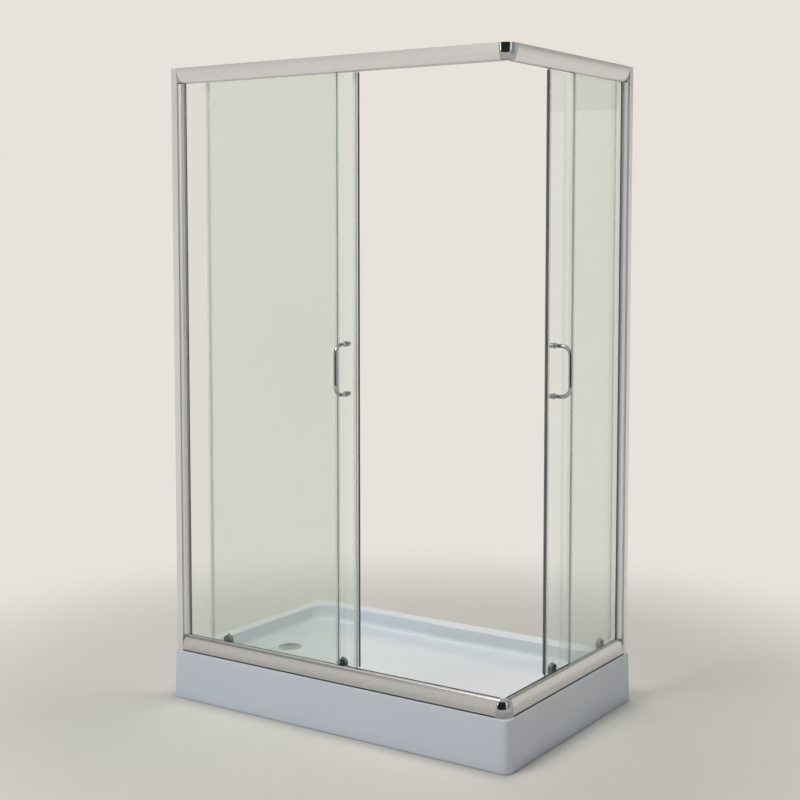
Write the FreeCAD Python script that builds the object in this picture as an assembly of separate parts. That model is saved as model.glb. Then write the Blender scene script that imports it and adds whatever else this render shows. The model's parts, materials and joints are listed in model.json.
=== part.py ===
import FreeCAD, Part
import math
import os

# Corner shower enclosure: a low tray in a room corner, glazed along its two open sides.
# Each glazed side is a fixed pane at the wall and a sliding door that meets the other at the near corner.
# Millimetres, +Z up. X runs along the long glazed side, whose outside faces -Y; the short one faces +X.
# The origin is on the floor, in the middle of the plan outline with the two door handles in it.

V = FreeCAD.Vector

# ---------------------------------------------------------------- driving dimensions
# Tray
tray_length = 1200.0            # wall to open edge, along the long side
tray_width = 760.0              # wall to open edge, along the short side
tray_height = 150.0             # floor to the top of the rim
tray_skin = 5.0                 # thickness of the moulded shell
skirt_flare = 5.0               # the skirt's foot stands this far outside the rim
skirt_lift = 2.0                # air under the skirt, the feet carry the tray
tray_corner_radius = 18.0       # upright corner between the two skirts
rim_rounding = 4.0              # outer edge of the rim
wall_turndown = 34.0            # depth of the rim's edge on the two wall sides
ledge_open = 62.0               # flat rim that carries the rails
ledge_back = 54.0               # flat rim along the back wall
ledge_left = 36.0               # flat rim along the left wall
basin_depth = 48.0              # rim to the basin floor
basin_lean = 10.0               # the basin's walls lean in this far
basin_corner_radius = 60.0      # plan corners of the basin
basin_foot_rounding = 18.0      # cove between wall and floor
basin_edge_rounding = 5.0       # rim to basin wall
basin_bay_length = 465.0        # left bay of the basin, which is a little wider towards the back
basin_bay_step = 9.0            # how much wider it is
basin_bay_bend = 45.0           # radius of both bends in the step between the two
basin_fall = 8.0                # the floor falls this far to the waste
basin_fall_margin = 2.0         # level strip between the cove and the fall
baseboard = 9.0                 # board moulded in under the basin floor

# Waste
waste_from_left = 160.0         # centre, from the left wall
waste_hole_radius = 30.0
waste_cover_radius = 38.0
waste_cover_rise = 4.0
waste_cover_skin = 1.5
cover_hole_radius = 2.6
cover_hole_pitch = 9.0          # ring to ring, with six more holes in each
cover_hole_rings = 2
cover_plug_wall = 2.2           # ring that holds the cover in the flange
cover_plug_depth = 8.0
waste_flange_skin = 2.0
waste_tail_radius = 25.0
waste_tail_wall = 2.0
waste_tail_length = 36.0
waste_pool_margin = 2.0         # level floor round the flange
waste_pool_corner = 30.0
gasket_thickness = 3.0
gasket_inset = 6.0              # inside the trap's edge
trap_radius = 50.0
trap_wall = 3.0
trap_floor_level = 14.0         # underside of the trap above the floor
outlet_radius = 20.0            # outside of the outlet spigot
outlet_wall = 2.5
outlet_length = 58.0            # spigot outside the trap, its collar included
outlet_collar = 3.0             # the collar that stops the pipe stands this far off the spigot
outlet_collar_length = 6.0
outlet_gap = 5.0                # under the support frame

# Support under the tray
frame_tube = 25.0
frame_tube_wall = 2.0
frame_end_margin = 70.0         # frame's ends from the tray's edges
frame_side_margin = 118.0
frame_trap_gap = 60.0           # trap to the cross tube beside it, centre line
frame_bay_shift = 60.0          # the next one stands this far right of midway
foot_rod_radius = 6.0
foot_rod_in_tube = 10.0
foot_pad_radius = 22.0
foot_pad_top_radius = 12.0
foot_pad_height = 12.0
foot_pad_floor = 5.0
foot_nut_across = 19.0
foot_nut_height = 9.0

# Enclosure
frame_height = 1815.0           # on the tray's rim
frame_inset = 6.0               # rails' outer face from the tray's edge
base_strip = 3.5                # sealing strip under the sills
base_strip_proud = 0.8
glass = 5.0                     # thickness of every pane
rubber = 1.0                    # glazing rubber each side of a pane
pane_gap = 11.5                 # fixed pane to sliding pane

# Rail, one section for sills and headers
rail_height = 47.0
rail_base = 2.0                 # wall on the tray side or on top
rail_wall = 1.5
face_bulge = 15.0               # depth of the rounded outer face
slot_level = 26.0               # underside of the glazing slot's floor
inner_room = 9.0                # sliding pane to the rail's inner edge
inner_lip = 8.0
shelf_level = 38.0              # wheel side of the track shelf
shelf_wall = 1.8
shelf_past_rib = 1.5
rib_height = 5.5
rib_width = 2.0
port_size = 8.0                 # screw port, outside
port_low_level = 8.0            # centre of the lower port
port_high_level = 21.0          # centre of the upper port

# Wall side
channel_depth = 22.0            # how far the wall channel stands off the wall
channel_wall = 2.0
channel_width = 30.0            # from the outer face inwards
upright_back_gap = 3.0          # room to adjust for a wall that is out of true
upright_play = 0.3
upright_reach = 38.0            # front edge of the upright from the wall
upright_face_set = 5.0          # its rounded face starts this deep
gasket_proud = 4.5
pane_in_upright = 10.5          # the fixed pane's edge inside the upright
wall_hole_radius = 2.75
wall_hole_end = 160.0           # first and last hole from the ends
wall_hole_count = 4

# Corner caps
cap_run = 37.0                  # along each side from the corner
cap_proud = 0.8
cap_wall = 3.0
cap_plate = 3.0
cap_flange = 3.0
cap_flange_inset = 3.5

# Fixed panes and doors
front_fixed_width = 615.0       # wall to the pane's free edge
side_fixed_width = 353.0
handle_past_pane = 22.0         # open, the front door's handle stands this far past the fixed pane
side_door_gap = 50.0            # wall to the open side door's trailing end
front_door_width = 568.0        # trailing end to the tip of the magnet seal
side_door_width = 437.0
corner_meet_gap = 0.3           # seal to seal across the corner
door_top_bite = 36.0            # how far the sliding pane rises into the header
door_foot_bite = 17.0           # how far it drops into the sill
seal_end_gap = 1.0              # seals stop this far from the rails
seal_wall = 1.2
seal_grip = 10.0                # how far the magnet seal reaches over the pane
clip_grip = 8.0                 # the same for the seals with a fin
clip_fin_in = 5.0               # foot of the fixed pane's fin, from the pane's edge
seal_fin = 1.0
seal_fin_lean = 2.0
fin_gap = 0.4
magnet_run = 5.0
magnet_web = 2.0

# Handle
handle_from_tip = 48.0
handle_spacing = 145.0
handle_height = 1072.0          # middle of the handle above the floor
handle_stand = 55.0             # bar's centre line from the pane
handle_bar_radius = 6.0
handle_bend = 29.0
handle_collar_radius = 8.5
handle_collar_length = 6.0
handle_collar_floor = 1.0       # the bar stands on this, not on the pane
handle_stud_radius = 3.0
handle_stud_bite = 12.0
handle_nut_radius = 7.0
handle_nut_length = 9.0
handle_nut_rounding = 2.5
handle_hole_radius = 4.5

# Rollers
wheel_radius = 11.5
wheel_width = 6.0
wheel_groove = 1.9
wheel_groove_flare = 0.7        # each side of the rib, at the groove's mouth
wheel_chamfer = 0.6
wheel_side_gap = 1.0
axle_radius = 3.5
axle_recess = 0.2               # its end, inside the wheel's face
axle_step = 1.2                 # shoulder that keeps the bottom wheel on its axle
trailing_roller_in = 58.0       # from the door's trailing end
leading_roller_in = 72.0        # from the tip
hanger_shoulder_radius = 6.0
hanger_hole_radius = 5.0
hanger_knob_radius = 11.0
hanger_knob_length = 8.0
hanger_knob_rounding = 2.0
stop_length = 18.0
stop_height = 20.0

# Quick-release bottom roller
housing_width = 28.0
housing_wall = 2.2
housing_floor = 2.0
housing_gap = 1.5               # over the sill's inner lip
housing_axle_gap = 0.5          # round the axle in its slot
housing_crown = 12.0            # radius of its top corners
housing_top = 60.0              # above the sill's base
housing_boss_level = 49.0       # centre of the boss in the pane
housing_boss_radius = 5.0
slider_width = 12.0
slider_depth = 9.0
slider_foot = 5.0               # below the axle's centre
slider_shoulder = 52.0          # above the sill's base
button_width = 8.0
button_depth = 6.0
button_rise = 5.0               # above the housing
button_rounding = 2.5
release_travel = 5.0
spring_radius = 2.6
spring_wire = 1.0
spring_pocket_level = 40.0

# Fasteners
screw_radius = 1.85
screw_head_radius = 3.5
screw_head_height = 2.2
screw_length = 14.0
screw_recess_across = 4.4
screw_recess_width = 0.9
screw_recess_depth = 1.32
side_screw_end = 200.0          # first and last, from the frame's ends

# Clearances
fit = 0.05                      # radial, turning or pressed
play = 0.3                      # between parts that move past each other

# ---------------------------------------------------------------- worked out from them
slot_outer = face_bulge + rail_wall
fixed_outer = slot_outer + rubber
fixed_inner = fixed_outer + glass
slot_inner = fixed_inner + rubber
track_outer = slot_inner + rail_wall
door_outer = fixed_inner + pane_gap
door_inner = door_outer + glass
rail_depth = door_inner + inner_room
sill_level = tray_height + base_strip
top_level = tray_height + frame_height
sill_top = sill_level + rail_height
header_foot = top_level - rail_height
wheel_line = track_outer + wheel_side_gap + wheel_width / 2
axle_level = shelf_level - rib_height - play - (wheel_radius - wheel_groove)
corner_reach = frame_inset + cap_run
front_door_gap = front_fixed_width + handle_past_pane + handle_from_tip - front_door_width
handle_out = handle_stand + handle_bar_radius - frame_inset - door_outer
x_wall = -(tray_length + handle_out) / 2
x_open = x_wall + tray_length
y_wall = (tray_width + handle_out) / 2
y_open = y_wall - tray_width
waste_x = x_wall + waste_from_left
waste_y = (y_open + y_wall) / 2
floor_level = tray_height - basin_depth
waste_level = floor_level - basin_fall
under_level = waste_level - baseboard
seal_outer = door_outer - seal_wall
seal_inner = door_inner + seal_wall
seal_reach = seal_inner - seal_outer


# ---------------------------------------------------------------- helpers
def box(x0, x1, y0, y1, z0, z1):
    return Part.makeBox(x1 - x0, y1 - y0, z1 - z0, V(x0, y0, z0))


def pin(radius, start, along, length):
    return Part.makeCylinder(radius, length, start, along)


def join(pieces):
    return pieces[0].multiFuse(pieces[1:]).removeSplitter()


def group(pieces):
    return Part.makeCompound(pieces)


def polygon(points, sweep):
    return Part.Face(Part.makePolygon(points + points[:1])).extrude(sweep)


def oval_arc(centre, tip_a, tip_b):
    # a quarter of an ellipse from tip_a to tip_b
    longer, shorter = tip_a, tip_b
    if (tip_b - centre).Length > (tip_a - centre).Length:
        longer, shorter = tip_b, tip_a
    return Part.ArcOfEllipse(Part.Ellipse(longer, shorter, centre), 0, math.pi / 2).toShape()


def oval_face(centre, tip_a, tip_b):
    sides = [Part.makeLine(tip_a, centre), Part.makeLine(centre, tip_b)]
    return Part.Face(Part.Wire(Part.sortEdges([oval_arc(centre, tip_a, tip_b)] + sides)[0]))


def rounded_rectangle(x0, x1, y0, y1, z, radius):
    r = radius
    h = r * math.sqrt(0.5)
    edges = [Part.makeLine(V(x0 + r, y0, z), V(x1 - r, y0, z))]
    edges.append(Part.Arc(V(x1 - r, y0, z), V(x1 - r + h, y0 + r - h, z), V(x1, y0 + r, z)).toShape())
    edges.append(Part.makeLine(V(x1, y0 + r, z), V(x1, y1 - r, z)))
    edges.append(Part.Arc(V(x1, y1 - r, z), V(x1 - r + h, y1 - r + h, z), V(x1 - r, y1, z)).toShape())
    edges.append(Part.makeLine(V(x1 - r, y1, z), V(x0 + r, y1, z)))
    edges.append(Part.Arc(V(x0 + r, y1, z), V(x0 + r - h, y1 - r + h, z), V(x0, y1 - r, z)).toShape())
    edges.append(Part.makeLine(V(x0, y1 - r, z), V(x0, y0 + r, z)))
    edges.append(Part.Arc(V(x0, y0 + r, z), V(x0 + r - h, y0 + r - h, z), V(x0 + r, y0, z)).toShape())
    return Part.Wire(edges)


def edges_where(shape, test):
    return [edge for edge in shape.Edges if test(edge.BoundBox)]


# A glazed side is drawn lying along X with its outside towards -Y, from the wall at X = 0,
# and is then carried to its place. The short side is the mirror image of the long one.
def on_front(shape):
    placed = shape.copy()
    placed.translate(V(x_wall, y_open, 0))
    return placed


def on_side(shape):
    placed = shape.mirror(V(0, 0, 0), V(1, 1, 0))
    placed.translate(V(x_open, y_wall, 0))
    return placed


SIDES = {
    "front": (on_front, tray_length, front_fixed_width, front_door_gap, front_door_width),
    "side": (on_side, tray_width, side_fixed_width, side_door_gap, side_door_width),
}


def door_tip(name):
    return SIDES[name][3] + SIDES[name][4]


def door_travel(name):
    # the seals meet on the diagonal of the corner
    return SIDES[name][1] - frame_inset - seal_outer - corner_meet_gap - door_tip(name)


def roller_places(name):
    return {
        "trailing": SIDES[name][3] + trailing_roller_in,
        "leading": door_tip(name) - leading_roller_in,
    }


# ---------------------------------------------------------------- tray
def skirt_outline(inset, z, flare):
    # plan of the tray, square at the walls and rounded at the open corner
    x0 = x_wall + inset
    x1 = x_open - inset + flare
    y0 = y_open + inset - flare
    y1 = y_wall - inset
    r = tray_corner_radius - inset + flare
    h = r * math.sqrt(0.5)
    bend = Part.Arc(V(x1 - r, y0, z), V(x1 - r + h, y0 + r - h, z), V(x1, y0 + r, z))
    corners = [V(x1, y0 + r, z), V(x1, y1, z), V(x0, y1, z), V(x0, y0, z), V(x1 - r, y0, z)]
    return Part.Wire(Part.makePolygon(corners).Edges + [bend.toShape()])


def tray_block(inset, z0, z1):
    rise = tray_height - skirt_lift
    flare_low = skirt_flare * (tray_height - z0) / rise
    flare_high = skirt_flare * (tray_height - z1) / rise
    outline_low = skirt_outline(inset, z0, flare_low)
    outline_high = skirt_outline(inset, z1, flare_high)
    return Part.makeLoft([outline_low, outline_high], True, True)


def basin_outline(lean, radius, z):
    # rounded rectangle with a soft step in its back side
    r = radius
    h = r * math.sqrt(0.5)
    x0 = x_wall + ledge_left + lean
    x1 = x_open - ledge_open - lean
    y0 = y_open + ledge_open + lean
    y1 = y_wall - ledge_back - lean
    y2 = y1 + basin_bay_step
    bend = basin_bay_bend
    turn = math.acos(1 - basin_bay_step / (2 * bend))
    xs = x_wall + ledge_left + basin_bay_length
    side = bend * math.sin(turn)
    part_side = side - bend * math.sin(turn / 2)
    part_rise = bend * (1 - math.cos(turn / 2))
    middle = V(xs, (y1 + y2) / 2, z)

    def bow(start, through, end):
        return Part.Arc(start, through, end).toShape()

    def run(start, end):
        return Part.makeLine(start, end)

    return Part.Wire([
        run(V(x0 + r, y0, z), V(x1 - r, y0, z)),
        bow(V(x1 - r, y0, z), V(x1 - r + h, y0 + r - h, z), V(x1, y0 + r, z)),
        run(V(x1, y0 + r, z), V(x1, y1 - r, z)),
        bow(V(x1, y1 - r, z), V(x1 - r + h, y1 - r + h, z), V(x1 - r, y1, z)),
        run(V(x1 - r, y1, z), V(xs + side, y1, z)),
        bow(V(xs + side, y1, z), V(xs + part_side, y1 + part_rise, z), middle),
        bow(middle, V(xs - part_side, y2 - part_rise, z), V(xs - side, y2, z)),
        run(V(xs - side, y2, z), V(x0 + r, y2, z)),
        bow(V(x0 + r, y2, z), V(x0 + r - h, y2 - r + h, z), V(x0, y2 - r, z)),
        run(V(x0, y2 - r, z), V(x0, y0 + r, z)),
        bow(V(x0, y0 + r, z), V(x0 + r - h, y0 + r - h, z), V(x0 + r, y0, z)),
    ])


def basin_hollow():
    mouth = basin_outline(0, basin_corner_radius, tray_height)
    foot = basin_outline(basin_lean, basin_corner_radius - basin_lean / 2, floor_level)
    hollow = Part.makeLoft([mouth, foot], True, True)
    foot_edges = edges_where(hollow, lambda b: b.ZMax < floor_level + 0.1)
    return hollow.makeFillet(basin_foot_rounding, foot_edges)


def floor_fall():
    # the floor falls from the foot of the walls to a level pool round the waste
    reach = basin_lean + basin_foot_rounding + basin_fall_margin
    x0 = x_wall + ledge_left + reach
    x1 = x_open - ledge_open - reach
    y0 = y_open + ledge_open + reach
    y1 = y_wall - ledge_back - reach
    corner = basin_corner_radius - basin_lean / 2 - basin_foot_rounding - basin_fall_margin
    rim = rounded_rectangle(x0, x1, y0, y1, floor_level, corner)
    half = waste_cover_radius + waste_pool_margin
    pool = rounded_rectangle(waste_x - half, waste_x + half, waste_y - half, waste_y + half,
                             waste_level, waste_pool_corner)
    return Part.makeLoft([rim, pool], True, True)


def tray_shell():
    block = tray_block(0, skirt_lift, tray_height)
    open_rim = edges_where(block, lambda b: b.ZMin > tray_height - 0.1
                           and (b.YMax < y_open + tray_corner_radius + 0.1
                                or b.XMin > x_open - tray_corner_radius - 0.1))
    block = block.makeFillet(rim_rounding, open_rim)
    under = tray_block(tray_skin, skirt_lift - 1, tray_height - tray_skin)
    tub = box(x_wall + ledge_left - tray_skin, x_open - ledge_open + tray_skin,
              y_open + ledge_open - tray_skin, y_wall - ledge_back + basin_bay_step + tray_skin,
              under_level, tray_height)
    shell = block.cut(under.cut(tub))
    low = tray_height - wall_turndown
    left_cut = box(x_wall - 1, x_wall + tray_skin + 0.5, y_open + tray_skin, y_wall + 1, 0, low)
    back_cut = box(x_wall - 1, x_open - tray_skin, y_wall - tray_skin - 0.5, y_wall + 1, 0, low)
    shell = shell.cut([left_cut, back_cut])
    hole = pin(waste_hole_radius, V(waste_x, waste_y, 0), V(0, 0, 1), tray_height)
    shell = shell.cut([basin_hollow().fuse(floor_fall()), hole])
    mouth = edges_where(shell, lambda b: b.ZMin > tray_height - 0.01 and b.XMin > x_wall + ledge_left - 1
                        and b.XMax < x_open - ledge_open + 1 and b.YMin > y_open + ledge_open - 1
                        and b.YMax < y_wall - ledge_back + basin_bay_step + 1)
    return shell.makeFillet(basin_edge_rounding, mouth)


# ---------------------------------------------------------------- support frame and feet
frame_top = under_level
frame_bottom = frame_top - frame_tube
frame_rows = [y_open + frame_side_margin, y_wall - frame_side_margin]
frame_bays = [x_wall + frame_end_margin + frame_tube / 2,
              waste_x + trap_radius + frame_trap_gap,
              (waste_x + x_open) / 2 + frame_bay_shift,
              x_open - frame_end_margin - frame_tube / 2]
foot_bays = [frame_bays[0], frame_bays[2], frame_bays[3]]


def tube(x0, x1, y0, y1, along_x):
    inner = frame_tube_wall
    whole = box(x0, x1, y0, y1, frame_bottom, frame_top)
    if along_x:
        bore = box(x0 - 1, x1 + 1, y0 + inner, y1 - inner, frame_bottom + inner, frame_top - inner)
    else:
        bore = box(x0 + inner, x1 - inner, y0 - 1, y1 + 1, frame_bottom + inner, frame_top - inner)
    return whole.cut(bore)


def tray_support_frame():
    half = frame_tube / 2
    ends = (x_wall + frame_end_margin, x_open - frame_end_margin)
    pieces = [tube(ends[0], ends[1], y - half, y + half, True) for y in frame_rows]
    for x in frame_bays:
        pieces.append(tube(x - half, x + half, frame_rows[0] + half, frame_rows[1] - half, False))
    frame = join(pieces)
    hole = foot_rod_radius + play
    deep = frame_tube_wall + 2
    holes = [pin(hole, V(x, y, frame_bottom - 1), V(0, 0, 1), deep) for x, y in foot_places()]
    return frame.cut(holes)


def foot_places():
    return [(x, y) for x in foot_bays for y in frame_rows]


def foot_rods():
    length = frame_bottom + foot_rod_in_tube - foot_pad_floor
    starts = [V(x, y, foot_pad_floor) for x, y in foot_places()]
    return group([pin(foot_rod_radius, start, V(0, 0, 1), length) for start in starts])


def foot_pad(x, y):
    base = Part.makeCone(foot_pad_radius, foot_pad_top_radius, foot_pad_height, V(x, y, 0), V(0, 0, 1))
    socket = pin(foot_rod_radius + fit, V(x, y, foot_pad_floor), V(0, 0, 1), foot_pad_height)
    return base.cut(socket)


def foot_nut(x, y):
    reach = foot_nut_across / 2 / math.cos(math.pi / 6)
    z = frame_bottom - foot_nut_height
    turns = [i * math.pi / 3 for i in range(6)]
    corners = [V(x + reach * math.cos(a), y + reach * math.sin(a), z) for a in turns]
    body = polygon(corners, V(0, 0, foot_nut_height))
    return body.cut(pin(foot_rod_radius + fit, V(x, y, z - 1), V(0, 0, 1), foot_nut_height + 2))


# ---------------------------------------------------------------- waste
def ring(outer, inner, z0, z1):
    body = pin(outer, V(waste_x, waste_y, z0), V(0, 0, 1), z1 - z0)
    return body.cut(pin(inner, V(waste_x, waste_y, z0 - 1), V(0, 0, 1), z1 - z0 + 2))


flange_top = waste_level + waste_flange_skin
tail_foot = flange_top - waste_tail_length
trap_top = under_level - gasket_thickness


def waste_flange():
    # dished ring on the basin floor with a dip tube below it
    plate = ring(waste_cover_radius, waste_tail_radius - waste_tail_wall, waste_level, flange_top)
    tail = ring(waste_tail_radius, waste_tail_radius - waste_tail_wall, tail_foot, flange_top)
    return join([plate, tail])


def waste_gasket():
    return ring(trap_radius - gasket_inset, waste_tail_radius + play, trap_top, under_level)


def waste_cover():
    # domed grid: a cap of a sphere over the flange, with rings of holes
    rise = waste_cover_rise
    sphere_radius = (waste_cover_radius ** 2 + rise ** 2) / (2 * rise)
    centre = V(waste_x, waste_y, flange_top + rise - sphere_radius)
    dome = Part.makeSphere(sphere_radius, centre)
    inside = Part.makeSphere(sphere_radius - waste_cover_skin, centre)
    slab = pin(waste_cover_radius, V(waste_x, waste_y, flange_top), V(0, 0, 1), rise + 1)
    cap = dome.cut(inside).common(slab)
    plug_radius = waste_tail_radius - waste_tail_wall - play
    plug = ring(plug_radius, plug_radius - cover_plug_wall, flange_top - cover_plug_depth,
                flange_top + rise / 2)
    cover = cap.fuse(plug)
    holes = []
    for i in range(cover_hole_rings + 1):
        count = max(1, 6 * i)
        for k in range(count):
            angle = 2 * math.pi * k / count
            radius = i * cover_hole_pitch
            at = V(waste_x + radius * math.cos(angle), waste_y + radius * math.sin(angle), flange_top - 2)
            holes.append(pin(cover_hole_radius, at, V(0, 0, 1), rise + 4))
    return cover.cut(holes).removeSplitter()


def waste_trap():
    # flat trap; its outlet runs towards the back wall
    low = trap_floor_level
    out = V(0, 1, 0)
    cup = pin(trap_radius, V(waste_x, waste_y, low), V(0, 0, 1), trap_top - low)
    cup_inside = pin(trap_radius - trap_wall, V(waste_x, waste_y, low + trap_wall), V(0, 0, 1),
                     trap_top - low - 2 * trap_wall)
    neck = pin(waste_tail_radius + play, V(waste_x, waste_y, low + trap_wall + 1), V(0, 0, 1), trap_top)
    outlet_level = frame_bottom - outlet_gap - outlet_radius
    centre = V(waste_x, waste_y, outlet_level)
    root = math.sqrt((trap_radius - trap_wall) ** 2 - outlet_radius ** 2)
    spigot = pin(outlet_radius, centre + out * root, out, trap_radius + outlet_length - root)
    collar = pin(outlet_radius + outlet_collar, centre + out * root, out,
                 trap_radius + outlet_collar_length - root)
    bore = pin(outlet_radius - outlet_wall, centre + out * (root - trap_wall), out,
               outlet_length + 3 * trap_wall + trap_radius)
    body = join([cup, spigot, collar])
    return body.cut([cup_inside, neck, bore])


# ---------------------------------------------------------------- rails
def rail(run0, run1):
    # section drawn at run0 with its base at Z = 0 and its outer face towards -Y
    length = run1 - run0
    f = frame_inset

    def bar(t0, t1, z0, z1):
        return box(run0, run1, f + t0, f + t1, z0, z1)

    sweep = V(length, 0, 0)
    centre = V(run0, f + face_bulge, 0)
    outer = oval_face(centre, V(run0, f, 0), V(run0, f + face_bulge, rail_height)).extrude(sweep)
    inner = oval_face(centre, V(run0, f + rail_base, 0),
                      V(run0, f + face_bulge, rail_height - rail_base)).extrude(sweep)
    inner = inner.cut(bar(0, face_bulge + 1, -1, rail_base))
    face = outer.cut(inner)
    base = bar(face_bulge, rail_depth, 0, rail_base)
    slot_wall_outer = bar(face_bulge, slot_outer, slot_level, rail_height)
    slot_floor = bar(face_bulge, track_outer, slot_level, slot_level + rail_wall)
    slot_wall_inner = bar(slot_inner, track_outer, 0, rail_height)
    shelf = bar(track_outer, wheel_line + rib_width / 2 + shelf_past_rib,
                shelf_level, shelf_level + shelf_wall)
    rib_tip = shelf_level - rib_height + rib_width / 2
    rib = bar(wheel_line - rib_width / 2, wheel_line + rib_width / 2, rib_tip, shelf_level)
    bead = pin(rib_width / 2, V(run0, f + wheel_line, rib_tip), V(1, 0, 0), length)
    lip = bar(rail_depth - rail_base, rail_depth, 0, inner_lip)
    half = port_size / 2
    port_low = bar(slot_inner - port_size, slot_inner, rail_base, port_low_level + half)
    port_high = bar(slot_inner - port_size, slot_inner, port_high_level - half, slot_level)
    body = join([face, base, slot_wall_outer, slot_floor, slot_wall_inner, shelf, rib, bead, lip,
                 port_low, port_high])
    holes = [pin(screw_radius + fit, V(run0 - 1, f + slot_inner - half, z), V(1, 0, 0), length + 2)
             for z in (port_low_level, port_high_level)]
    return body.cut(holes)


def mitre(name):
    # everything past the diagonal of the corner, which the other side's rail takes
    end = SIDES[name][1]
    points = [V(end, 0, -1), V(end + 1, 0, -1), V(end + 1, 200, -1), V(end - 200, 200, -1)]
    return polygon(points, V(0, 0, rail_height + 2))


def rail_for(name):
    return rail(channel_depth, SIDES[name][1] - corner_reach).cut(mitre(name))


def sill(name):
    piece = rail_for(name)
    piece.translate(V(0, 0, sill_level))
    return SIDES[name][0](piece)


def header(name):
    piece = rail_for(name).mirror(V(0, 0, 0), V(0, 0, 1))
    piece.translate(V(0, 0, top_level))
    return SIDES[name][0](piece)


def base_strip_for(name):
    outer = frame_inset - base_strip_proud
    inner = frame_inset + rail_depth - rail_base
    strip = box(channel_depth, SIDES[name][1] - corner_reach, outer, inner, 0, base_strip)
    strip = strip.cut(mitre(name))
    strip.translate(V(0, 0, tray_height))
    return SIDES[name][0](strip)


def glazing_channel(name, at_top):
    # U-shaped rubber that holds the fixed pane in the rail's slot
    run1 = SIDES[name][2]
    f = frame_inset
    seat = slot_level + rail_wall
    body = box(channel_depth, run1, f + slot_outer, f + slot_inner, seat, rail_height)
    groove = box(channel_depth - 1, run1 + 1, f + fixed_outer, f + fixed_inner,
                 seat + rubber, rail_height + 1)
    body = body.cut(groove)
    if at_top:
        body = body.mirror(V(0, 0, 0), V(0, 0, 1))
        body.translate(V(0, 0, top_level))
    else:
        body.translate(V(0, 0, sill_level))
    return SIDES[name][0](body)


# ---------------------------------------------------------------- corner caps
def cap_dome(radius):
    inset = radius - face_bulge
    top = V(0, -radius, 0)
    foot = V(0, -inset, rail_height)
    centre = V(0, -inset, 0)
    curve = oval_arc(centre, top, foot)
    edges = [curve, Part.makeLine(foot, V(0, 0, rail_height)),
             Part.makeLine(V(0, 0, rail_height), V(0, 0, 0)), Part.makeLine(V(0, 0, 0), top)]
    face = Part.Face(Part.Wire(Part.sortEdges(edges)[0]))
    return face.revolve(V(0, 0, 0), V(0, 0, 1), 90)


def corner_cap(at_top):
    # quarter dome that carries the rails' rounded face round the corner, with a flange for each rail
    radius = cap_run + cap_proud
    shell = cap_dome(radius).cut(cap_dome(radius - cap_wall))
    plate_radius = radius - cap_wall / 2
    plate = Part.makeCylinder(plate_radius, cap_plate, V(0, 0, 0), V(0, 0, 1), 90)
    plate.rotate(V(0, 0, 0), V(0, 0, 1), -90)
    near = cap_run - track_outer
    far = cap_run - cap_flange_inset
    flange_front = box(0, cap_flange, -far, -near, 0, slot_level)
    flange_side = box(near, far, -cap_flange, 0, 0, slot_level)
    pieces = [shell, plate, flange_front, flange_side]
    if not at_top:
        foot = Part.makeCylinder(radius, base_strip, V(0, 0, -base_strip), V(0, 0, 1), 90)
        foot.rotate(V(0, 0, 0), V(0, 0, 1), -90)
        pieces.append(foot)
    body = join(pieces)
    port = cap_run - slot_inner + port_size / 2
    holes = []
    for z in (port_low_level, port_high_level):
        holes.append(pin(screw_radius + play, V(-1, -port, z), V(1, 0, 0), cap_flange + 2))
        holes.append(pin(screw_radius + play, V(port, 1, z), V(0, -1, 0), cap_flange + 2))
    body = body.cut(holes)
    if at_top:
        body = body.mirror(V(0, 0, 0), V(0, 0, 1))
        body.translate(V(x_open - corner_reach, y_open + corner_reach, top_level))
    else:
        body.translate(V(x_open - corner_reach, y_open + corner_reach, sill_level))
    return body


# ---------------------------------------------------------------- wall side
def wall_hole_levels():
    low = tray_height + wall_hole_end
    step = (frame_height - 2 * wall_hole_end) / (wall_hole_count - 1)
    return [low + i * step for i in range(wall_hole_count)]


def side_screw_levels():
    low = tray_height + side_screw_end
    high = top_level - side_screw_end
    return [low, (low + high) / 2, high]


def wall_channel(name):
    f = frame_inset
    w = channel_wall
    body = box(0, channel_depth, f, f + channel_width, tray_height, top_level)
    body = body.cut(box(w, channel_depth + 1, f + w, f + channel_width - w, tray_height - 1, top_level + 1))
    middle = f + channel_width / 2
    holes = [pin(wall_hole_radius, V(-1, middle, z), V(1, 0, 0), w + 2) for z in wall_hole_levels()]
    run = (upright_back_gap + channel_wall + channel_depth) / 2
    for z in side_screw_levels():
        holes.append(pin(screw_radius + play, V(run, f + channel_width - w - 1, z), V(0, 1, 0), w + 2))
    return SIDES[name][0](body.cut(holes))


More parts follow.
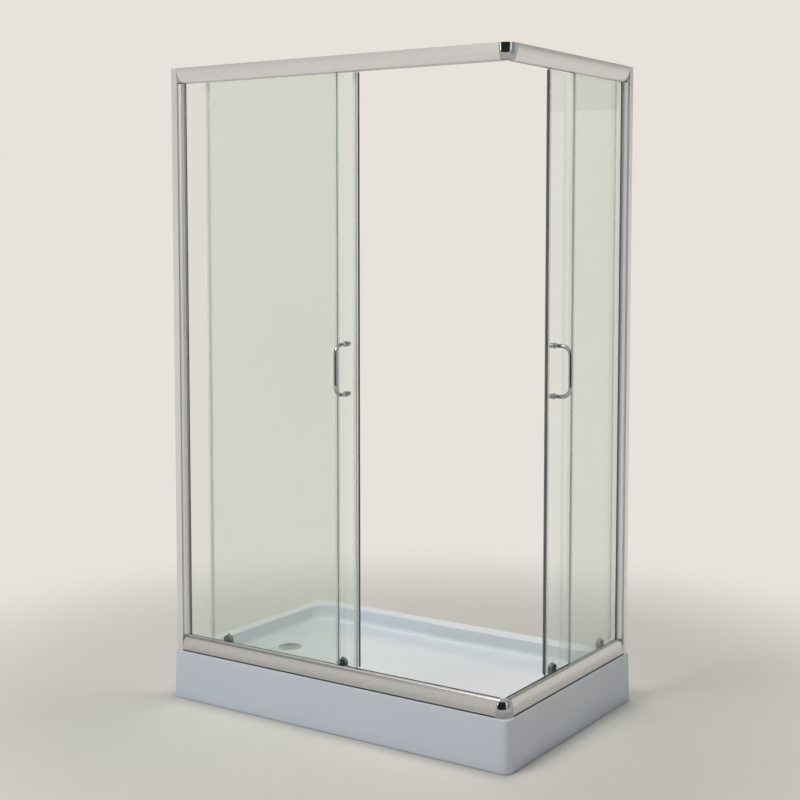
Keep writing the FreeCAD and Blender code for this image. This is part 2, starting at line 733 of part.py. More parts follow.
def upright(name):
    # a box that slides in the wall channel and a rounded front with the glazing pocket
    f = frame_inset
    back = channel_wall + upright_back_gap
    outer = f + channel_wall + upright_play
    inner = f + channel_width - channel_wall - upright_play
    w = rail_wall
    box_part = box(back, channel_depth, outer, inner, tray_height, top_level)
    box_part = box_part.cut(box(back + w, channel_depth - w, outer + w, inner - w,
                                tray_height - 1, top_level + 1))
    low = sill_top + play
    high = header_foot - play
    centre = V(channel_depth, f + slot_outer - w, low)
    sweep = V(0, 0, high - low)
    front_tip = V(upright_reach, f + slot_outer - w, low)
    side_tip = V(channel_depth, f + upright_face_set, low)
    face = oval_face(centre, side_tip, front_tip).extrude(sweep)
    hollow = oval_face(centre, V(channel_depth, f + upright_face_set + w, low),
                       V(upright_reach - w, f + slot_outer - w, low)).extrude(sweep)
    pocket_outer = box(channel_depth, upright_reach, f + slot_outer - w, f + slot_outer, low, high)
    seat = channel_depth + pane_seat()
    pocket_back = box(seat - w, seat, f + slot_outer - w, f + slot_inner + w, low, high)
    pocket_inner = box(channel_depth, upright_reach, f + slot_inner, f + slot_inner + w, low, high)
    body = join([box_part, face.cut(hollow), pocket_outer, pocket_back, pocket_inner])
    port = f + slot_inner - port_size / 2
    holes = []
    for z in (sill_level + port_low_level, sill_level + port_high_level,
              top_level - port_low_level, top_level - port_high_level):
        holes.append(pin(screw_radius + play, V(channel_depth - w - 1, port, z), V(1, 0, 0), w + 2))
    run = (upright_back_gap + channel_wall + channel_depth) / 2
    for z in side_screw_levels():
        holes.append(pin(screw_radius + fit, V(run, inner - w - 1, z), V(0, 1, 0), w + 2))
    return SIDES[name][0](body.cut(holes))


def pane_seat():
    # depth of the pocket's floor behind the upright's front edge, measured from the channel's lips
    return upright_reach - channel_depth - pane_in_upright - rubber


def upright_gasket(name):
    f = frame_inset
    seat = channel_depth + pane_seat()
    low = sill_top + play
    high = header_foot - play
    body = box(seat, upright_reach + gasket_proud, f + slot_outer, f + slot_inner, low, high)
    slot = box(seat + rubber, upright_reach + gasket_proud + 1, f + fixed_outer, f + fixed_inner,
               low - 1, high + 1)
    return SIDES[name][0](body.cut(slot))


# ---------------------------------------------------------------- fixed panes
def fixed_glass(name):
    f = frame_inset
    low = sill_level + slot_level + rail_wall + rubber
    high = top_level - slot_level - rail_wall - rubber
    hidden_edge = channel_depth + pane_seat() + rubber
    pane = box(hidden_edge, SIDES[name][2], f + fixed_outer, f + fixed_inner, low, high)
    return SIDES[name][0](pane)


def fixed_edge_seal(name):
    # clear clip on the pane's free edge, with a fin that brushes along the door
    f = frame_inset
    edge = SIDES[name][2]
    w = seal_wall
    low = sill_top + seal_end_gap
    high = header_foot - seal_end_gap
    clip = box(edge - clip_grip, edge + w, f + fixed_outer - w, f + fixed_inner + w, low, high)
    clip = clip.cut(box(edge - clip_grip - 1, edge, f + fixed_outer, f + fixed_inner, low - 1, high + 1))
    root = edge - clip_fin_in
    tip = root + seal_fin_lean
    near, far = f + fixed_inner + w, f + door_outer - fin_gap
    points = [V(root, near, low), V(root + seal_fin, near, low),
              V(tip + seal_fin, far, low), V(tip, far, low)]
    return SIDES[name][0](join([clip, polygon(points, V(0, 0, high - low))]))


# ---------------------------------------------------------------- doors
def door_glass(name):
    f = frame_inset
    trail = SIDES[name][3] + seal_wall
    lead = door_tip(name) - magnet_run - seal_reach - magnet_web
    low = sill_top - door_foot_bite
    high = header_foot + door_top_bite
    pane = box(trail, lead, f + door_outer, f + door_inner, low, high)
    holes = []
    for run in roller_places(name).values():
        at_top = V(run, f + door_outer - 1, top_level - axle_level)
        at_foot = V(run, f + door_outer - 1, sill_level + housing_boss_level)
        holes.append(pin(hanger_hole_radius, at_top, V(0, 1, 0), glass + 2))
        holes.append(pin(housing_boss_radius + play, at_foot, V(0, 1, 0), glass + 2))
    for z in handle_levels():
        at = V(door_tip(name) - handle_from_tip, f + door_outer - 1, z)
        holes.append(pin(handle_hole_radius, at, V(0, 1, 0), glass + 2))
    return SIDES[name][0](pane.cut(holes))


def magnet_seal(name):
    # clear clip on the leading edge, cut at 45 degrees to carry the magnet strip
    f = frame_inset
    tip = door_tip(name)
    edge = tip - magnet_run - seal_reach - magnet_web
    low = sill_top + seal_end_gap
    high = header_foot - seal_end_gap
    outer, inner = f + seal_outer, f + seal_inner
    points = [V(edge - seal_grip, outer, low), V(tip - magnet_run, outer, low),
              V(tip - magnet_run - seal_reach, inner, low), V(edge - seal_grip, inner, low)]
    body = polygon(points, V(0, 0, high - low))
    slot = box(edge - seal_grip - 1, edge, f + door_outer, f + door_inner, low - 1, high + 1)
    return SIDES[name][0](body.cut(slot))


def magnet_strip(name):
    f = frame_inset
    tip = door_tip(name)
    low = sill_top + seal_end_gap
    high = header_foot - seal_end_gap
    outer, inner = f + seal_outer, f + seal_inner
    points = [V(tip - magnet_run, outer, low), V(tip, outer, low),
              V(tip - seal_reach, inner, low), V(tip - magnet_run - seal_reach, inner, low)]
    return SIDES[name][0](polygon(points, V(0, 0, high - low)))


def wipe_seal(name):
    # clip on the trailing edge with a fin towards the fixed pane
    f = frame_inset
    trail = SIDES[name][3]
    w = seal_wall
    low = sill_top + seal_end_gap
    high = header_foot - seal_end_gap
    end = trail + w + clip_grip
    clip = box(trail, end, f + door_outer - w, f + door_inner + w, low, high)
    clip = clip.cut(box(trail + w, end + 1, f + door_outer, f + door_inner, low - 1, high + 1))
    tip = trail + seal_fin_lean
    root = tip + seal_fin_lean
    near, far = f + fixed_inner + fin_gap, f + door_outer - w
    points = [V(tip, near, low), V(tip + seal_fin, near, low),
              V(root + seal_fin, far, low), V(root, far, low)]
    return SIDES[name][0](join([clip, polygon(points, V(0, 0, high - low))]))


# ---------------------------------------------------------------- handle
def handle_levels():
    return [handle_height - handle_spacing / 2, handle_height + handle_spacing / 2]


def handle(name):
    # round bar bent to a bow that stands square off the pane
    run = door_tip(name) - handle_from_tip
    foot = frame_inset + door_outer - handle_collar_floor
    out = frame_inset + door_outer - handle_stand
    low, high = handle_levels()
    bend = handle_bend
    h = bend * math.sqrt(0.5)
    path = [Part.makeLine(V(run, foot, low), V(run, out + bend, low)),
            Part.Arc(V(run, out + bend, low), V(run, out + bend - h, low + bend - h),
                     V(run, out, low + bend)).toShape(),
            Part.makeLine(V(run, out, low + bend), V(run, out, high - bend)),
            Part.Arc(V(run, out, high - bend), V(run, out + bend - h, high - bend + h),
                     V(run, out + bend, high)).toShape(),
            Part.makeLine(V(run, out + bend, high), V(run, foot, high))]
    section = Part.Wire(Part.makeCircle(handle_bar_radius, V(run, foot, low), V(0, -1, 0)))
    bar = Part.Wire(path).makePipeShell([section], True, False)
    holes = [pin(handle_stud_radius + fit, V(run, foot + 1, z), V(0, -1, 0), handle_stud_bite + 1)
             for z in (low, high)]
    return SIDES[name][0](bar.cut(holes))


def handle_fixings(name):
    # a collar round each end of the bar and a cap nut with its stud behind the pane
    run = door_tip(name) - handle_from_tip
    face = frame_inset + door_outer
    back = frame_inset + door_inner
    pieces = []
    for z in handle_levels():
        collar = pin(handle_collar_radius, V(run, face, z), V(0, -1, 0), handle_collar_length)
        bar_seat = V(run, face - handle_collar_floor, z)
        collar = collar.cut(pin(handle_bar_radius + fit, bar_seat, V(0, -1, 0), handle_collar_length))
        collar = collar.cut(pin(handle_stud_radius + fit, V(run, face + 1, z), V(0, -1, 0), 3))
        pieces.append(collar)
        nut = pin(handle_nut_radius, V(run, back, z), V(0, 1, 0), handle_nut_length)
        rim = edges_where(nut, lambda b: b.YMin > back + handle_nut_length - 0.1)
        nut = nut.makeFillet(handle_nut_rounding, rim)
        stud = pin(handle_stud_radius, V(run, back + 1, z), V(0, -1, 0), glass + handle_stud_bite)
        pieces.append(nut.fuse(stud))
    return SIDES[name][0](group(pieces))


# ---------------------------------------------------------------- rollers
def roller_wheel(name, which, at_top):
    # grooved wheel that runs on the rail's rib
    r, w = wheel_radius, wheel_width / 2
    bore = axle_radius + fit
    c = wheel_chamfer
    mouth = rib_width / 2 + wheel_groove_flare
    foot = rib_width / 2 + play
    outline = [V(0, -w, bore), V(0, -w, r - c), V(0, -w + c, r), V(0, -mouth, r),
               V(0, -foot, r - wheel_groove), V(0, foot, r - wheel_groove),
               V(0, mouth, r), V(0, w - c, r), V(0, w, r - c), V(0, w, bore)]
    wheel = Part.Face(Part.makePolygon(outline + outline[:1])).revolve(V(0, 0, 0), V(0, 1, 0), 360)
    z = top_level - axle_level if at_top else sill_level + axle_level
    wheel.translate(V(roller_places(name)[which], frame_inset + wheel_line, z))
    return SIDES[name][0](wheel)


def roller_hangers(name):
    # bolt through the pane: axle outside, round knob inside
    f = frame_inset
    z = top_level - axle_level
    pieces = []
    for run in roller_places(name).values():
        axle_end = wheel_line - wheel_width / 2 + axle_recess
        shoulder = wheel_line + wheel_width / 2 + play
        axle = pin(axle_radius, V(run, f + axle_end, z), V(0, 1, 0), shoulder - axle_end + 0.5)
        collar = pin(hanger_shoulder_radius, V(run, f + shoulder, z), V(0, 1, 0), door_outer - shoulder)
        neck = pin(hanger_hole_radius - 2 * fit, V(run, f + door_outer - 0.5, z), V(0, 1, 0), glass + 1)
        knob = pin(hanger_knob_radius, V(run, f + door_inner, z), V(0, 1, 0), hanger_knob_length)
        rim = edges_where(knob, lambda b: b.YMin > f + door_inner + hanger_knob_length - 0.1)
        pieces.append(join([axle, collar, neck, knob.makeFillet(hanger_knob_rounding, rim)]))
    return SIDES[name][0](group(pieces))


slider_outer = door_inner + housing_wall + play
slider_inner = slider_outer + slider_depth
housing_inner = slider_inner + play + housing_wall
housing_low = inner_lip + housing_gap
cavity_low = housing_low + housing_floor
spring_line = (slider_outer + slider_inner) / 2


def bottom_housings(name):
    # block behind the pane's foot, snapped into it, that guides the release slider
    f = frame_inset
    pieces = []
    for run in roller_places(name).values():
        half = housing_width / 2
        body = box(run - half, run + half, f + door_inner, f + housing_inner, housing_low, housing_top)
        crown = edges_where(body, lambda b: b.ZMin > housing_top - 0.1 and b.XLength < 0.1)
        body = body.makeFillet(housing_crown, crown)
        boss = pin(housing_boss_radius, V(run, f + door_outer + 0.3, housing_boss_level), V(0, 1, 0),
                   glass + housing_wall / 2)
        body = body.fuse(boss)
        side = slider_width / 2 + play
        cavity = box(run - side, run + side, f + slider_outer - play, f + slider_inner + play,
                     cavity_low, slider_shoulder + play)
        mouth = button_width / 2 + play
        middle = f + spring_line
        deep = button_depth / 2 + play
        opening = box(run - mouth, run + mouth, middle - deep, middle + deep,
                      slider_shoulder, housing_top + 1)
        gap = axle_radius + housing_axle_gap
        slot = box(run - gap, run + gap, f + door_inner - 1, f + slider_outer,
                   axle_level - release_travel - gap, axle_level + gap)
        body = body.cut([cavity, opening, slot])
        body.translate(V(0, 0, sill_level))
        pieces.append(body)
    return SIDES[name][0](group(pieces))


def release_slider(name, which):
    # slider with its push button on top and the bottom wheel's axle at its foot
    f = frame_inset
    run = roller_places(name)[which]
    side = slider_width / 2
    body = box(run - side, run + side, f + slider_outer, f + slider_inner,
               axle_level - slider_foot, slider_shoulder)
    middle = f + spring_line
    deep = button_depth / 2
    half = button_width / 2
    button = box(run - half, run + half, middle - deep, middle + deep,
                 slider_shoulder - 1, housing_top + button_rise)
    crown = edges_where(button, lambda b: b.ZMin > housing_top + button_rise - 0.1 and b.XLength < 0.1)
    button = button.makeFillet(button_rounding, crown)
    axle_end = f + wheel_line - wheel_width / 2 + axle_recess
    axle = pin(axle_radius, V(run, axle_end, axle_level), V(0, 1, 0), f + slider_outer + 0.5 - axle_end)
    inside = wheel_line + wheel_width / 2 + play
    shoulder = pin(axle_radius + axle_step, V(run, f + inside, axle_level), V(0, 1, 0), door_outer - inside)
    pocket = pin(spring_radius + play, V(run, middle, axle_level - slider_foot - 1), V(0, 0, 1),
                 spring_pocket_level - axle_level + slider_foot + 1)
    body = join([body, button, axle, shoulder]).cut(pocket)
    body.translate(V(0, 0, sill_level))
    return SIDES[name][0](body)


def release_spring(name, which):
    # plain sleeve in the place of the coil spring that pushes the slider up
    f = frame_inset
    run = roller_places(name)[which]
    length = spring_pocket_level - cavity_low
    start = V(run, f + spring_line, sill_level + cavity_low)
    sleeve = pin(spring_radius, start, V(0, 0, 1), length)
    bore = pin(spring_radius - spring_wire, start - V(0, 0, 1), V(0, 0, 1), length + 2)
    return SIDES[name][0](sleeve.cut(bore))


def door_stops(name):
    # rubber blocks in the header's track, one for the open and one for the closed door
    f = frame_inset
    low = top_level - shelf_level + rib_height + play
    places = roller_places(name)
    open_end = places["trailing"] - wheel_radius - play
    shut_end = places["leading"] + door_travel(name) + wheel_radius + play
    inner = wheel_line + wheel_width / 2
    pieces = []
    for run0, run1 in ((open_end - stop_length, open_end), (shut_end, shut_end + stop_length)):
        block = box(run0, run1, f + track_outer, f + inner, low, low + stop_height)
        pieces.append(SIDES[name][0](block))
    return pieces


# ---------------------------------------------------------------- fasteners
def screw(start, along):
    # pan head with a cross recess; start is under the head, along points down the shank
    head = pin(screw_head_radius, start - along * screw_head_height, along, screw_head_height)
    shank = pin(screw_radius, start, along, screw_length)
    body = join([head, shank])
    top = start - along * screw_head_height
    across = V(-along.y, along.x, 0)
    for wide, tall in ((across, V(0, 0, 1)), (V(0, 0, 1), across)):
        wide = wide * screw_recess_across
        tall = tall * screw_recess_width
        corner = top - wide * 0.5 - tall * 0.5 - along * 0.1
        blade = [corner, corner + wide, corner + wide + tall, corner + tall]
        body = body.cut(polygon(blade, along * (screw_recess_depth + 0.1)))
    return body


def frame_screws():
    f = frame_inset
    port = f + slot_inner - port_size / 2
    levels = [sill_level + port_low_level, sill_level + port_high_level,
              top_level - port_low_level, top_level - port_high_level]
    run = (upright_back_gap + channel_wall + channel_depth) / 2
    pieces = []
    for name, side in SIDES.items():
        for z in levels:
            pieces.append(side[0](screw(V(channel_depth - rail_wall, port, z), V(1, 0, 0))))
            end = side[1] - corner_reach + cap_flange
            pieces.append(side[0](screw(V(end, port, z), V(-1, 0, 0))))
        for z in side_screw_levels():
            pieces.append(side[0](screw(V(run, f + channel_width, z), V(0, -1, 0))))
    return group(pieces)


# ---------------------------------------------------------------- every node
def build_nodes():
    nodes = {
        "tray_shell": tray_shell(),
        "tray_support_frame": tray_support_frame(),
        "foot_rods": foot_rods(),
        "foot_pads": group([foot_pad(x, y) for x, y in foot_places()]),
        "foot_nuts": group([foot_nut(x, y) for x, y in foot_places()]),
        "waste_flange": waste_flange(),
        "waste_gasket": waste_gasket(),
        "waste_cover": waste_cover(),
        "waste_trap": waste_trap(),
        "wall_channel_left": wall_channel("front"),
        "wall_channel_right": wall_channel("side"),
        "upright_left": upright("front"),
        "upright_right": upright("side"),
        "upright_gaskets": group([upright_gasket(name) for name in SIDES]),
        "sill_base_strips": group([base_strip_for(name) for name in SIDES]),
        "glazing_rubbers": group([glazing_channel(name, top) for name in SIDES for top in (False, True)]),
        "corner_cap_top": corner_cap(True),
        "corner_cap_bottom": corner_cap(False),
        "fixed_edge_seals": group([fixed_edge_seal(name) for name in SIDES]),
        "door_stops": group(door_stops("front") + door_stops("side")),
        "frame_screws": frame_screws(),
    }
    for name in SIDES:
        nodes["sill_" + name] = sill(name)
        nodes["header_" + name] = header(name)
        nodes["fixed_glass_" + name] = fixed_glass(name)
        nodes[name + "_door_glass"] = door_glass(name)
        nodes[name + "_magnet_seal"] = magnet_seal(name)
        nodes[name + "_magnet_strip"] = magnet_strip(name)
        nodes[name + "_wipe_seal"] = wipe_seal(name)
        nodes[name + "_handle"] = handle(name)
        nodes[name + "_handle_fixings"] = handle_fixings(name)
        nodes[name + "_roller_hangers"] = roller_hangers(name)
        nodes[name + "_roller_housings"] = bottom_housings(name)
        for which in roller_places(name):
            nodes[name + "_top_wheel_" + which] = roller_wheel(name, which, True)
            nodes[name + "_bottom_wheel_" + which] = roller_wheel(name, which, False)
            nodes[name + "_release_" + which] = release_slider(name, which)
            nodes[name + "_release_spring_" + which] = release_spring(name, which)
    return nodes


def main():
    os.makedirs("parts", exist_ok=True)
    nodes = build_nodes()
    for name, shape in nodes.items():
        shape.exportStep("parts/" + name + ".step")
        solids = len(shape.Solids)
        print(name, "solids", solids, "volume", round(shape.Volume, 1), "valid", shape.isValid())
    for name in SIDES:
        print(name, "door travel", round(door_travel(name), 3), "rollers", roller_places(name))
    print("nodes", len(nodes))


main()
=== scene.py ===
# %% [markdown]
# # A corner shower enclosure, piece by piece
# The enclosure stands on a low white tray and closes two of its sides. Each of them has a fixed pane and a
# sliding door, and the two doors meet at the near corner. The imported model brings every solid at its true
# size and place, in metres. It stays the measure for all that follows. Where a
# solid's form is already that of the real piece, it only gets a finish. The panes, wheels, springs and feet,
# the small moulded blocks, the trap and the frame under the tray are made anew, because their fine form
# shows when one looks closely. The start file's own cube, lamp and camera are cleared away.

# %% Load the imported model
import bmesh
import bpy
import json
import math
from mathutils import Matrix, Vector


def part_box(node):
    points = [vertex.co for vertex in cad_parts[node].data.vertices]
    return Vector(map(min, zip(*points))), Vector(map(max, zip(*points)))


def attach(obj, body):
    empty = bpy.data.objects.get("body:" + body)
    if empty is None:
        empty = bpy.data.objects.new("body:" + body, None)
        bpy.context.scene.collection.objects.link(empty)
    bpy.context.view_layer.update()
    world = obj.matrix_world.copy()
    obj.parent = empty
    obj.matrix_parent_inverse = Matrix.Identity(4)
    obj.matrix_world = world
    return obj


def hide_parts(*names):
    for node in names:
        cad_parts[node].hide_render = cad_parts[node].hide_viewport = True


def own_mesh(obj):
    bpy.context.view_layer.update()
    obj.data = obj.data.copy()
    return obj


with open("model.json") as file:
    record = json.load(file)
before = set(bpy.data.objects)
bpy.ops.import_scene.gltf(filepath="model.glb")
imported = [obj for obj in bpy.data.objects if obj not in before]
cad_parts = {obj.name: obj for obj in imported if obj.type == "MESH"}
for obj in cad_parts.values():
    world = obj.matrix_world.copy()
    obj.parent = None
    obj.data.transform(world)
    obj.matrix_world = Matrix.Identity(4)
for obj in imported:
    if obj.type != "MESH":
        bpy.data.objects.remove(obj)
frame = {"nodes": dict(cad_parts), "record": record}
for leftover in ("Cube", "Light", "Camera"):
    if leftover in bpy.data.objects:
        bpy.data.objects.remove(bpy.data.objects[leftover])
nodes = frame["nodes"]
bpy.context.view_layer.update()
print("solids arrive in", len(nodes), "nodes")

# %% [markdown]
# ## The camera
# A photograph of a tall upright thing is usually taken with the camera level or nearly so, and the view is
# slid down afterwards to take in the floor. That keeps the upright profiles parallel. Here a small slide is
# kept in the lens and the rest is a gentle downward tilt. The camera stands to the right of the long side,
# about four and a half metres from the enclosure's middle and half a metre above it, with a short telephoto
# lens.

# %% Place the camera
millimetre = 0.001
eye = Vector((2477.4, -3709.9, 1481.8)) * millimetre
turn = math.radians(33.83)
tilt = math.radians(4.31)
lens_length = 65.3
lens_slide = -0.08
look = Vector((-math.sin(turn) * math.cos(tilt), math.cos(turn) * math.cos(tilt), -math.sin(tilt)))
camera_data = bpy.data.cameras.new("studio_camera")
camera_data.sensor_width = 36.0
camera_data.lens = lens_length
camera_data.shift_y = lens_slide
camera_data.clip_end = 200.0
camera = bpy.data.objects.new("studio_camera", camera_data)
bpy.context.scene.collection.objects.link(camera)
camera.location = eye
camera.rotation_mode = "QUATERNION"
camera.rotation_quaternion = look.to_track_quat("-Z", "Y")
bpy.context.scene.camera = camera
bpy.context.scene.view_settings.view_transform = "Standard"
print("camera", round(eye.length, 2), "m from the origin")

# %% [markdown]
# ## Building finishes from nodes
# Every finish here is one Principled shader with a few textures in front of it. Numbers that are the same
# all over a surface sit on the shader itself. What varies, such as a drawn metal's fine lines, comes from
# noise in object coordinates, so it keeps its real scale in metres and travels with a moving door.
# Two small helpers begin every finish: one makes the shader and the other makes the noise.

# %% A finish and its noise
def new_finish(name, **settings):
    """A Principled finish. Each setting is a shader socket, with _ in place of the spaces."""
    finish = bpy.data.materials.new(name)
    finish.use_nodes = True
    shader = finish.node_tree.nodes["Principled BSDF"]
    for socket, value in settings.items():
        shader.inputs[socket.replace("_", " ")].default_value = value
    return finish, shader


def grain(finish, scale, stretch=(1.0, 1.0, 1.0), detail=3.0):
    """Noise of that scale per metre, drawn out along the axes with a small stretch."""
    tree = finish.node_tree
    coordinates = tree.nodes.new("ShaderNodeTexCoord")
    place = tree.nodes.new("ShaderNodeMapping")
    place.inputs["Scale"].default_value = stretch
    noise = tree.nodes.new("ShaderNodeTexNoise")
    noise.inputs["Scale"].default_value = scale
    noise.inputs["Detail"].default_value = detail
    tree.links.new(coordinates.outputs["Object"], place.inputs["Vector"])
    tree.links.new(place.outputs["Vector"], noise.inputs["Vector"])
    return noise.outputs["Fac"]


print("settings are given in a Principled shader's own words, such as Metallic or Coat_Weight")

# %% [markdown]
# Three more helpers spend a value: they spread it between two colours or between two degrees of roughness,
# or turn it into relief. Noise rarely strays far from its middle, so the first two spread only the middle
# of its range. That way both ends of the range are really seen.

# %% Colour, roughness and relief from a value
noise_low, noise_high = 0.3, 0.7


def vary_colour(finish, shader, value, dark, light):
    """The base colour runs from dark to light over the middle of the value's range."""
    tree = finish.node_tree
    ramp = tree.nodes.new("ShaderNodeValToRGB")
    stops = ramp.color_ramp.elements
    stops[0].position, stops[0].color = noise_low, (*dark, 1.0)
    stops[1].position, stops[1].color = noise_high, (*light, 1.0)
    tree.links.new(value, ramp.inputs["Fac"])
    tree.links.new(ramp.outputs["Color"], shader.inputs["Base Color"])


def vary_roughness(finish, shader, value, smooth, rough):
    """The roughness runs from smooth to rough over the same range."""
    tree = finish.node_tree
    spread = tree.nodes.new("ShaderNodeMapRange")
    spread.inputs["From Min"].default_value = noise_low
    spread.inputs["From Max"].default_value = noise_high
    spread.inputs["To Min"].default_value = smooth
    spread.inputs["To Max"].default_value = rough
    tree.links.new(value, spread.inputs["Value"])
    tree.links.new(spread.outputs["Result"], shader.inputs["Roughness"])


def add_relief(finish, shader, value, depth, strength=1.0):
    """Bump of that depth in metres."""
    tree = finish.node_tree
    relief = tree.nodes.new("ShaderNodeBump")
    relief.inputs["Distance"].default_value = depth
    relief.inputs["Strength"].default_value = strength
    tree.links.new(value, relief.inputs["Height"])
    tree.links.new(relief.outputs["Normal"], shader.inputs["Normal"])


print("noise is spread from", noise_low, "to", noise_high)

# %% [markdown]
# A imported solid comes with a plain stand-in for each of its materials. To wear a finish is to have every one
# of them replaced by it. The form stays as it is.

# %% Solids that only get a finish
def wear(names, finish):
    """These solids keep their form and take this finish."""
    for name in names:
        surfaces = nodes[name].data.materials
        for index in range(len(surfaces)):
            surfaces[index] = finish
    print(finish.name, "on", ", ".join(names))


print("stand-ins on the tray:", [surface.name for surface in nodes["tray_shell"].data.materials])

# %% [markdown]
# ## The tray's acrylic
# The tray is a sheet of white acrylic drawn over a mould. Such a sheet is very glossy, with a faint
# waviness that only the reflections show, and it is a touch less smooth where feet have stood. A large,
# weak noise bends the normal, a finer one varies the gloss, and a clear coat gives the hard highlight that
# runs along the rim.

# %% Acrylic
acrylic, shader = new_finish("acrylic_sheet", IOR=1.49, Coat_Weight=0.6, Coat_Roughness=0.06)
# The base colour's blue tint is painted cool shade; the acrylic itself is white.
vary_colour(acrylic, shader, grain(acrylic, 3.0), (0.745, 0.782, 0.86), (0.775, 0.81, 0.882))
vary_roughness(acrylic, shader, grain(acrylic, 18.0), 0.14, 0.26)
add_relief(acrylic, shader, grain(acrylic, 7.0, detail=1.0), 0.0006)
wear(["tray_shell"], acrylic)

# %% [markdown]
# ## Bright aluminium
# Rails and uprights are pressed through a die, brightened and anodised. The die leaves fine lines along
# the length, so reflections are smeared across them. The noise is drawn out along the run: a rail of the
# long side runs along X, one of the short side along Y, and an upright along Z. The uprights are a little
# duller than the headers, and their colour is painted lighter as painted light. The sills' colour is painted
# a shade darker, the front sill's most, as painted shade for the darker surroundings that they mirror. So
# there is one function, and each rail gets its direction, its roughness and its tone.

# %% Aluminium along three directions
bright_metal = ((0.70, 0.705, 0.715), (0.745, 0.75, 0.755))
lines_per_metre = 700.0
die_line_depth = 0.000004
long_stretch = 0.004
along_x, along_y, along_z = (long_stretch, 1.0, 1.0), (1.0, long_stretch, 1.0), (1.0, 1.0, long_stretch)


def drawn_aluminium(name, stretch, smooth, rough, tone=1.0):
    finish, shader = new_finish(name, Metallic=1.0, Coat_Weight=0.2, Coat_Roughness=0.12)
    lines = grain(finish, lines_per_metre, stretch, detail=2.0)
    # A tone other than 1 scales the colour: painted light above 1, painted shade below 1.
    dark, light = (tuple(tone * channel for channel in colour) for colour in bright_metal)
    vary_colour(finish, shader, lines, dark, light)
    vary_roughness(finish, shader, lines, smooth, rough)
    add_relief(finish, shader, lines, die_line_depth, 0.5)
    return finish


wear(["header_front"], drawn_aluminium("aluminium_run_x", along_x, 0.25, 0.34))
wear(["header_side"], drawn_aluminium("aluminium_run_y", along_y, 0.25, 0.34))
# The sills' tones are painted shade and the uprights' tone is painted light.
wear(["sill_front"], drawn_aluminium("aluminium_sill_x_painted_shade", along_x, 0.22, 0.30, tone=0.78))
wear(["sill_side"], drawn_aluminium("aluminium_sill_y_painted_shade", along_y, 0.22, 0.30, tone=0.88))
wear(["wall_channel_left", "wall_channel_right", "upright_left", "upright_right"],
     drawn_aluminium("aluminium_run_z_painted_light", along_z, 0.42, 0.52, tone=1.08))

# %% [markdown]
# ## Chrome
# The corner caps, the handles, the wheels' hangers and the waste cover are chromed. Chrome is almost a
# mirror, so it is made by what stands round it: the lamps and boards that are set up further down. Its
# base colour is darker than real chrome's, as painted shade, and it adds the faint smudges that wiping leaves.

# %% Chrome
chrome, shader = new_finish("chrome_plate", Metallic=1.0)
smudges = grain(chrome, 26.0, detail=5.0)
# Both colours are darker than real chrome: painted shade for dark surroundings.
vary_colour(chrome, shader, smudges, (0.39, 0.40, 0.415), (0.45, 0.455, 0.47))
vary_roughness(chrome, shader, smudges, 0.03, 0.11)
add_relief(chrome, shader, grain(chrome, 60.0), 0.00003, 0.5)
wear(["corner_cap_top", "corner_cap_bottom", "waste_cover", "front_handle", "side_handle",
      "front_handle_fixings", "side_handle_fixings", "front_roller_hangers", "side_roller_hangers"], chrome)

# %% [markdown]
# ## Steel below the tray
# What nobody sees still has its own steel. The waste flange is brushed stainless, so its noise is drawn out
# into strokes. Screws, springs and the feet's rods are zinc plated, which leaves a cloudy bloom instead.

# %% Brushed flange and zinc plate
brushed, shader = new_finish("stainless_brushed", Metallic=1.0)
strokes = grain(brushed, 160.0, (1.0, 0.04, 1.0), detail=4.0)
vary_colour(brushed, shader, strokes, (0.58, 0.585, 0.59), (0.70, 0.70, 0.70))
vary_roughness(brushed, shader, strokes, 0.22, 0.38)
add_relief(brushed, shader, strokes, 0.00003, 0.6)
wear(["waste_flange"], brushed)

zinc, shader = new_finish("zinc_plate", Metallic=1.0)
bloom = grain(zinc, 140.0, detail=5.0)
vary_colour(zinc, shader, bloom, (0.50, 0.52, 0.54), (0.66, 0.67, 0.66))
vary_roughness(zinc, shader, bloom, 0.28, 0.46)
add_relief(zinc, shader, bloom, 0.00003, 0.5)
wear(["frame_screws"], zinc)

# %% [markdown]
# The support frame is hot galvanised, with the flowers of crystal that zinc forms as it cools. Cells of a
# Voronoi texture make those flowers, each with its own tone and gloss.

# %% Galvanised steel
def galvanised_steel(name):
    finish, shader = new_finish(name, Metallic=0.85)
    tree = finish.node_tree
    coordinates = tree.nodes.new("ShaderNodeTexCoord")
    flowers = tree.nodes.new("ShaderNodeTexVoronoi")
    flowers.inputs["Scale"].default_value = 75.0
    tree.links.new(coordinates.outputs["Object"], flowers.inputs["Vector"])
    tone = tree.nodes.new("ShaderNodeSeparateColor")
    tree.links.new(flowers.outputs["Color"], tone.inputs["Color"])
    vary_colour(finish, shader, tone.outputs["Red"], (0.36, 0.38, 0.40), (0.52, 0.54, 0.55))
    vary_roughness(finish, shader, tone.outputs["Green"], 0.38, 0.58)
    add_relief(finish, shader, grain(finish, 300.0), 0.00005, 0.5)
    return finish


galvanised = galvanised_steel("galvanised_frame")
print("ready for the frame:", galvanised.name)

# %% [markdown]
# ## Rubber and magnets
# Gaskets, stops and base strips are black rubber, dull and finely pored. The gasket between an upright and
# its pane is grey. The magnet strips look like black rubber too, but smoother, because their powder is
# cast in plastic. So one function makes all three from their colours and their roughness.

# %% Rubber and magnets
def rubber(name, dark, light, smooth, rough):
    finish, shader = new_finish(name, IOR=1.5)
    pores = grain(finish, 900.0, detail=4.0)
    vary_colour(finish, shader, grain(finish, 25.0), dark, light)
    vary_roughness(finish, shader, pores, smooth, rough)
    add_relief(finish, shader, pores, 0.00004, 0.6)
    return finish


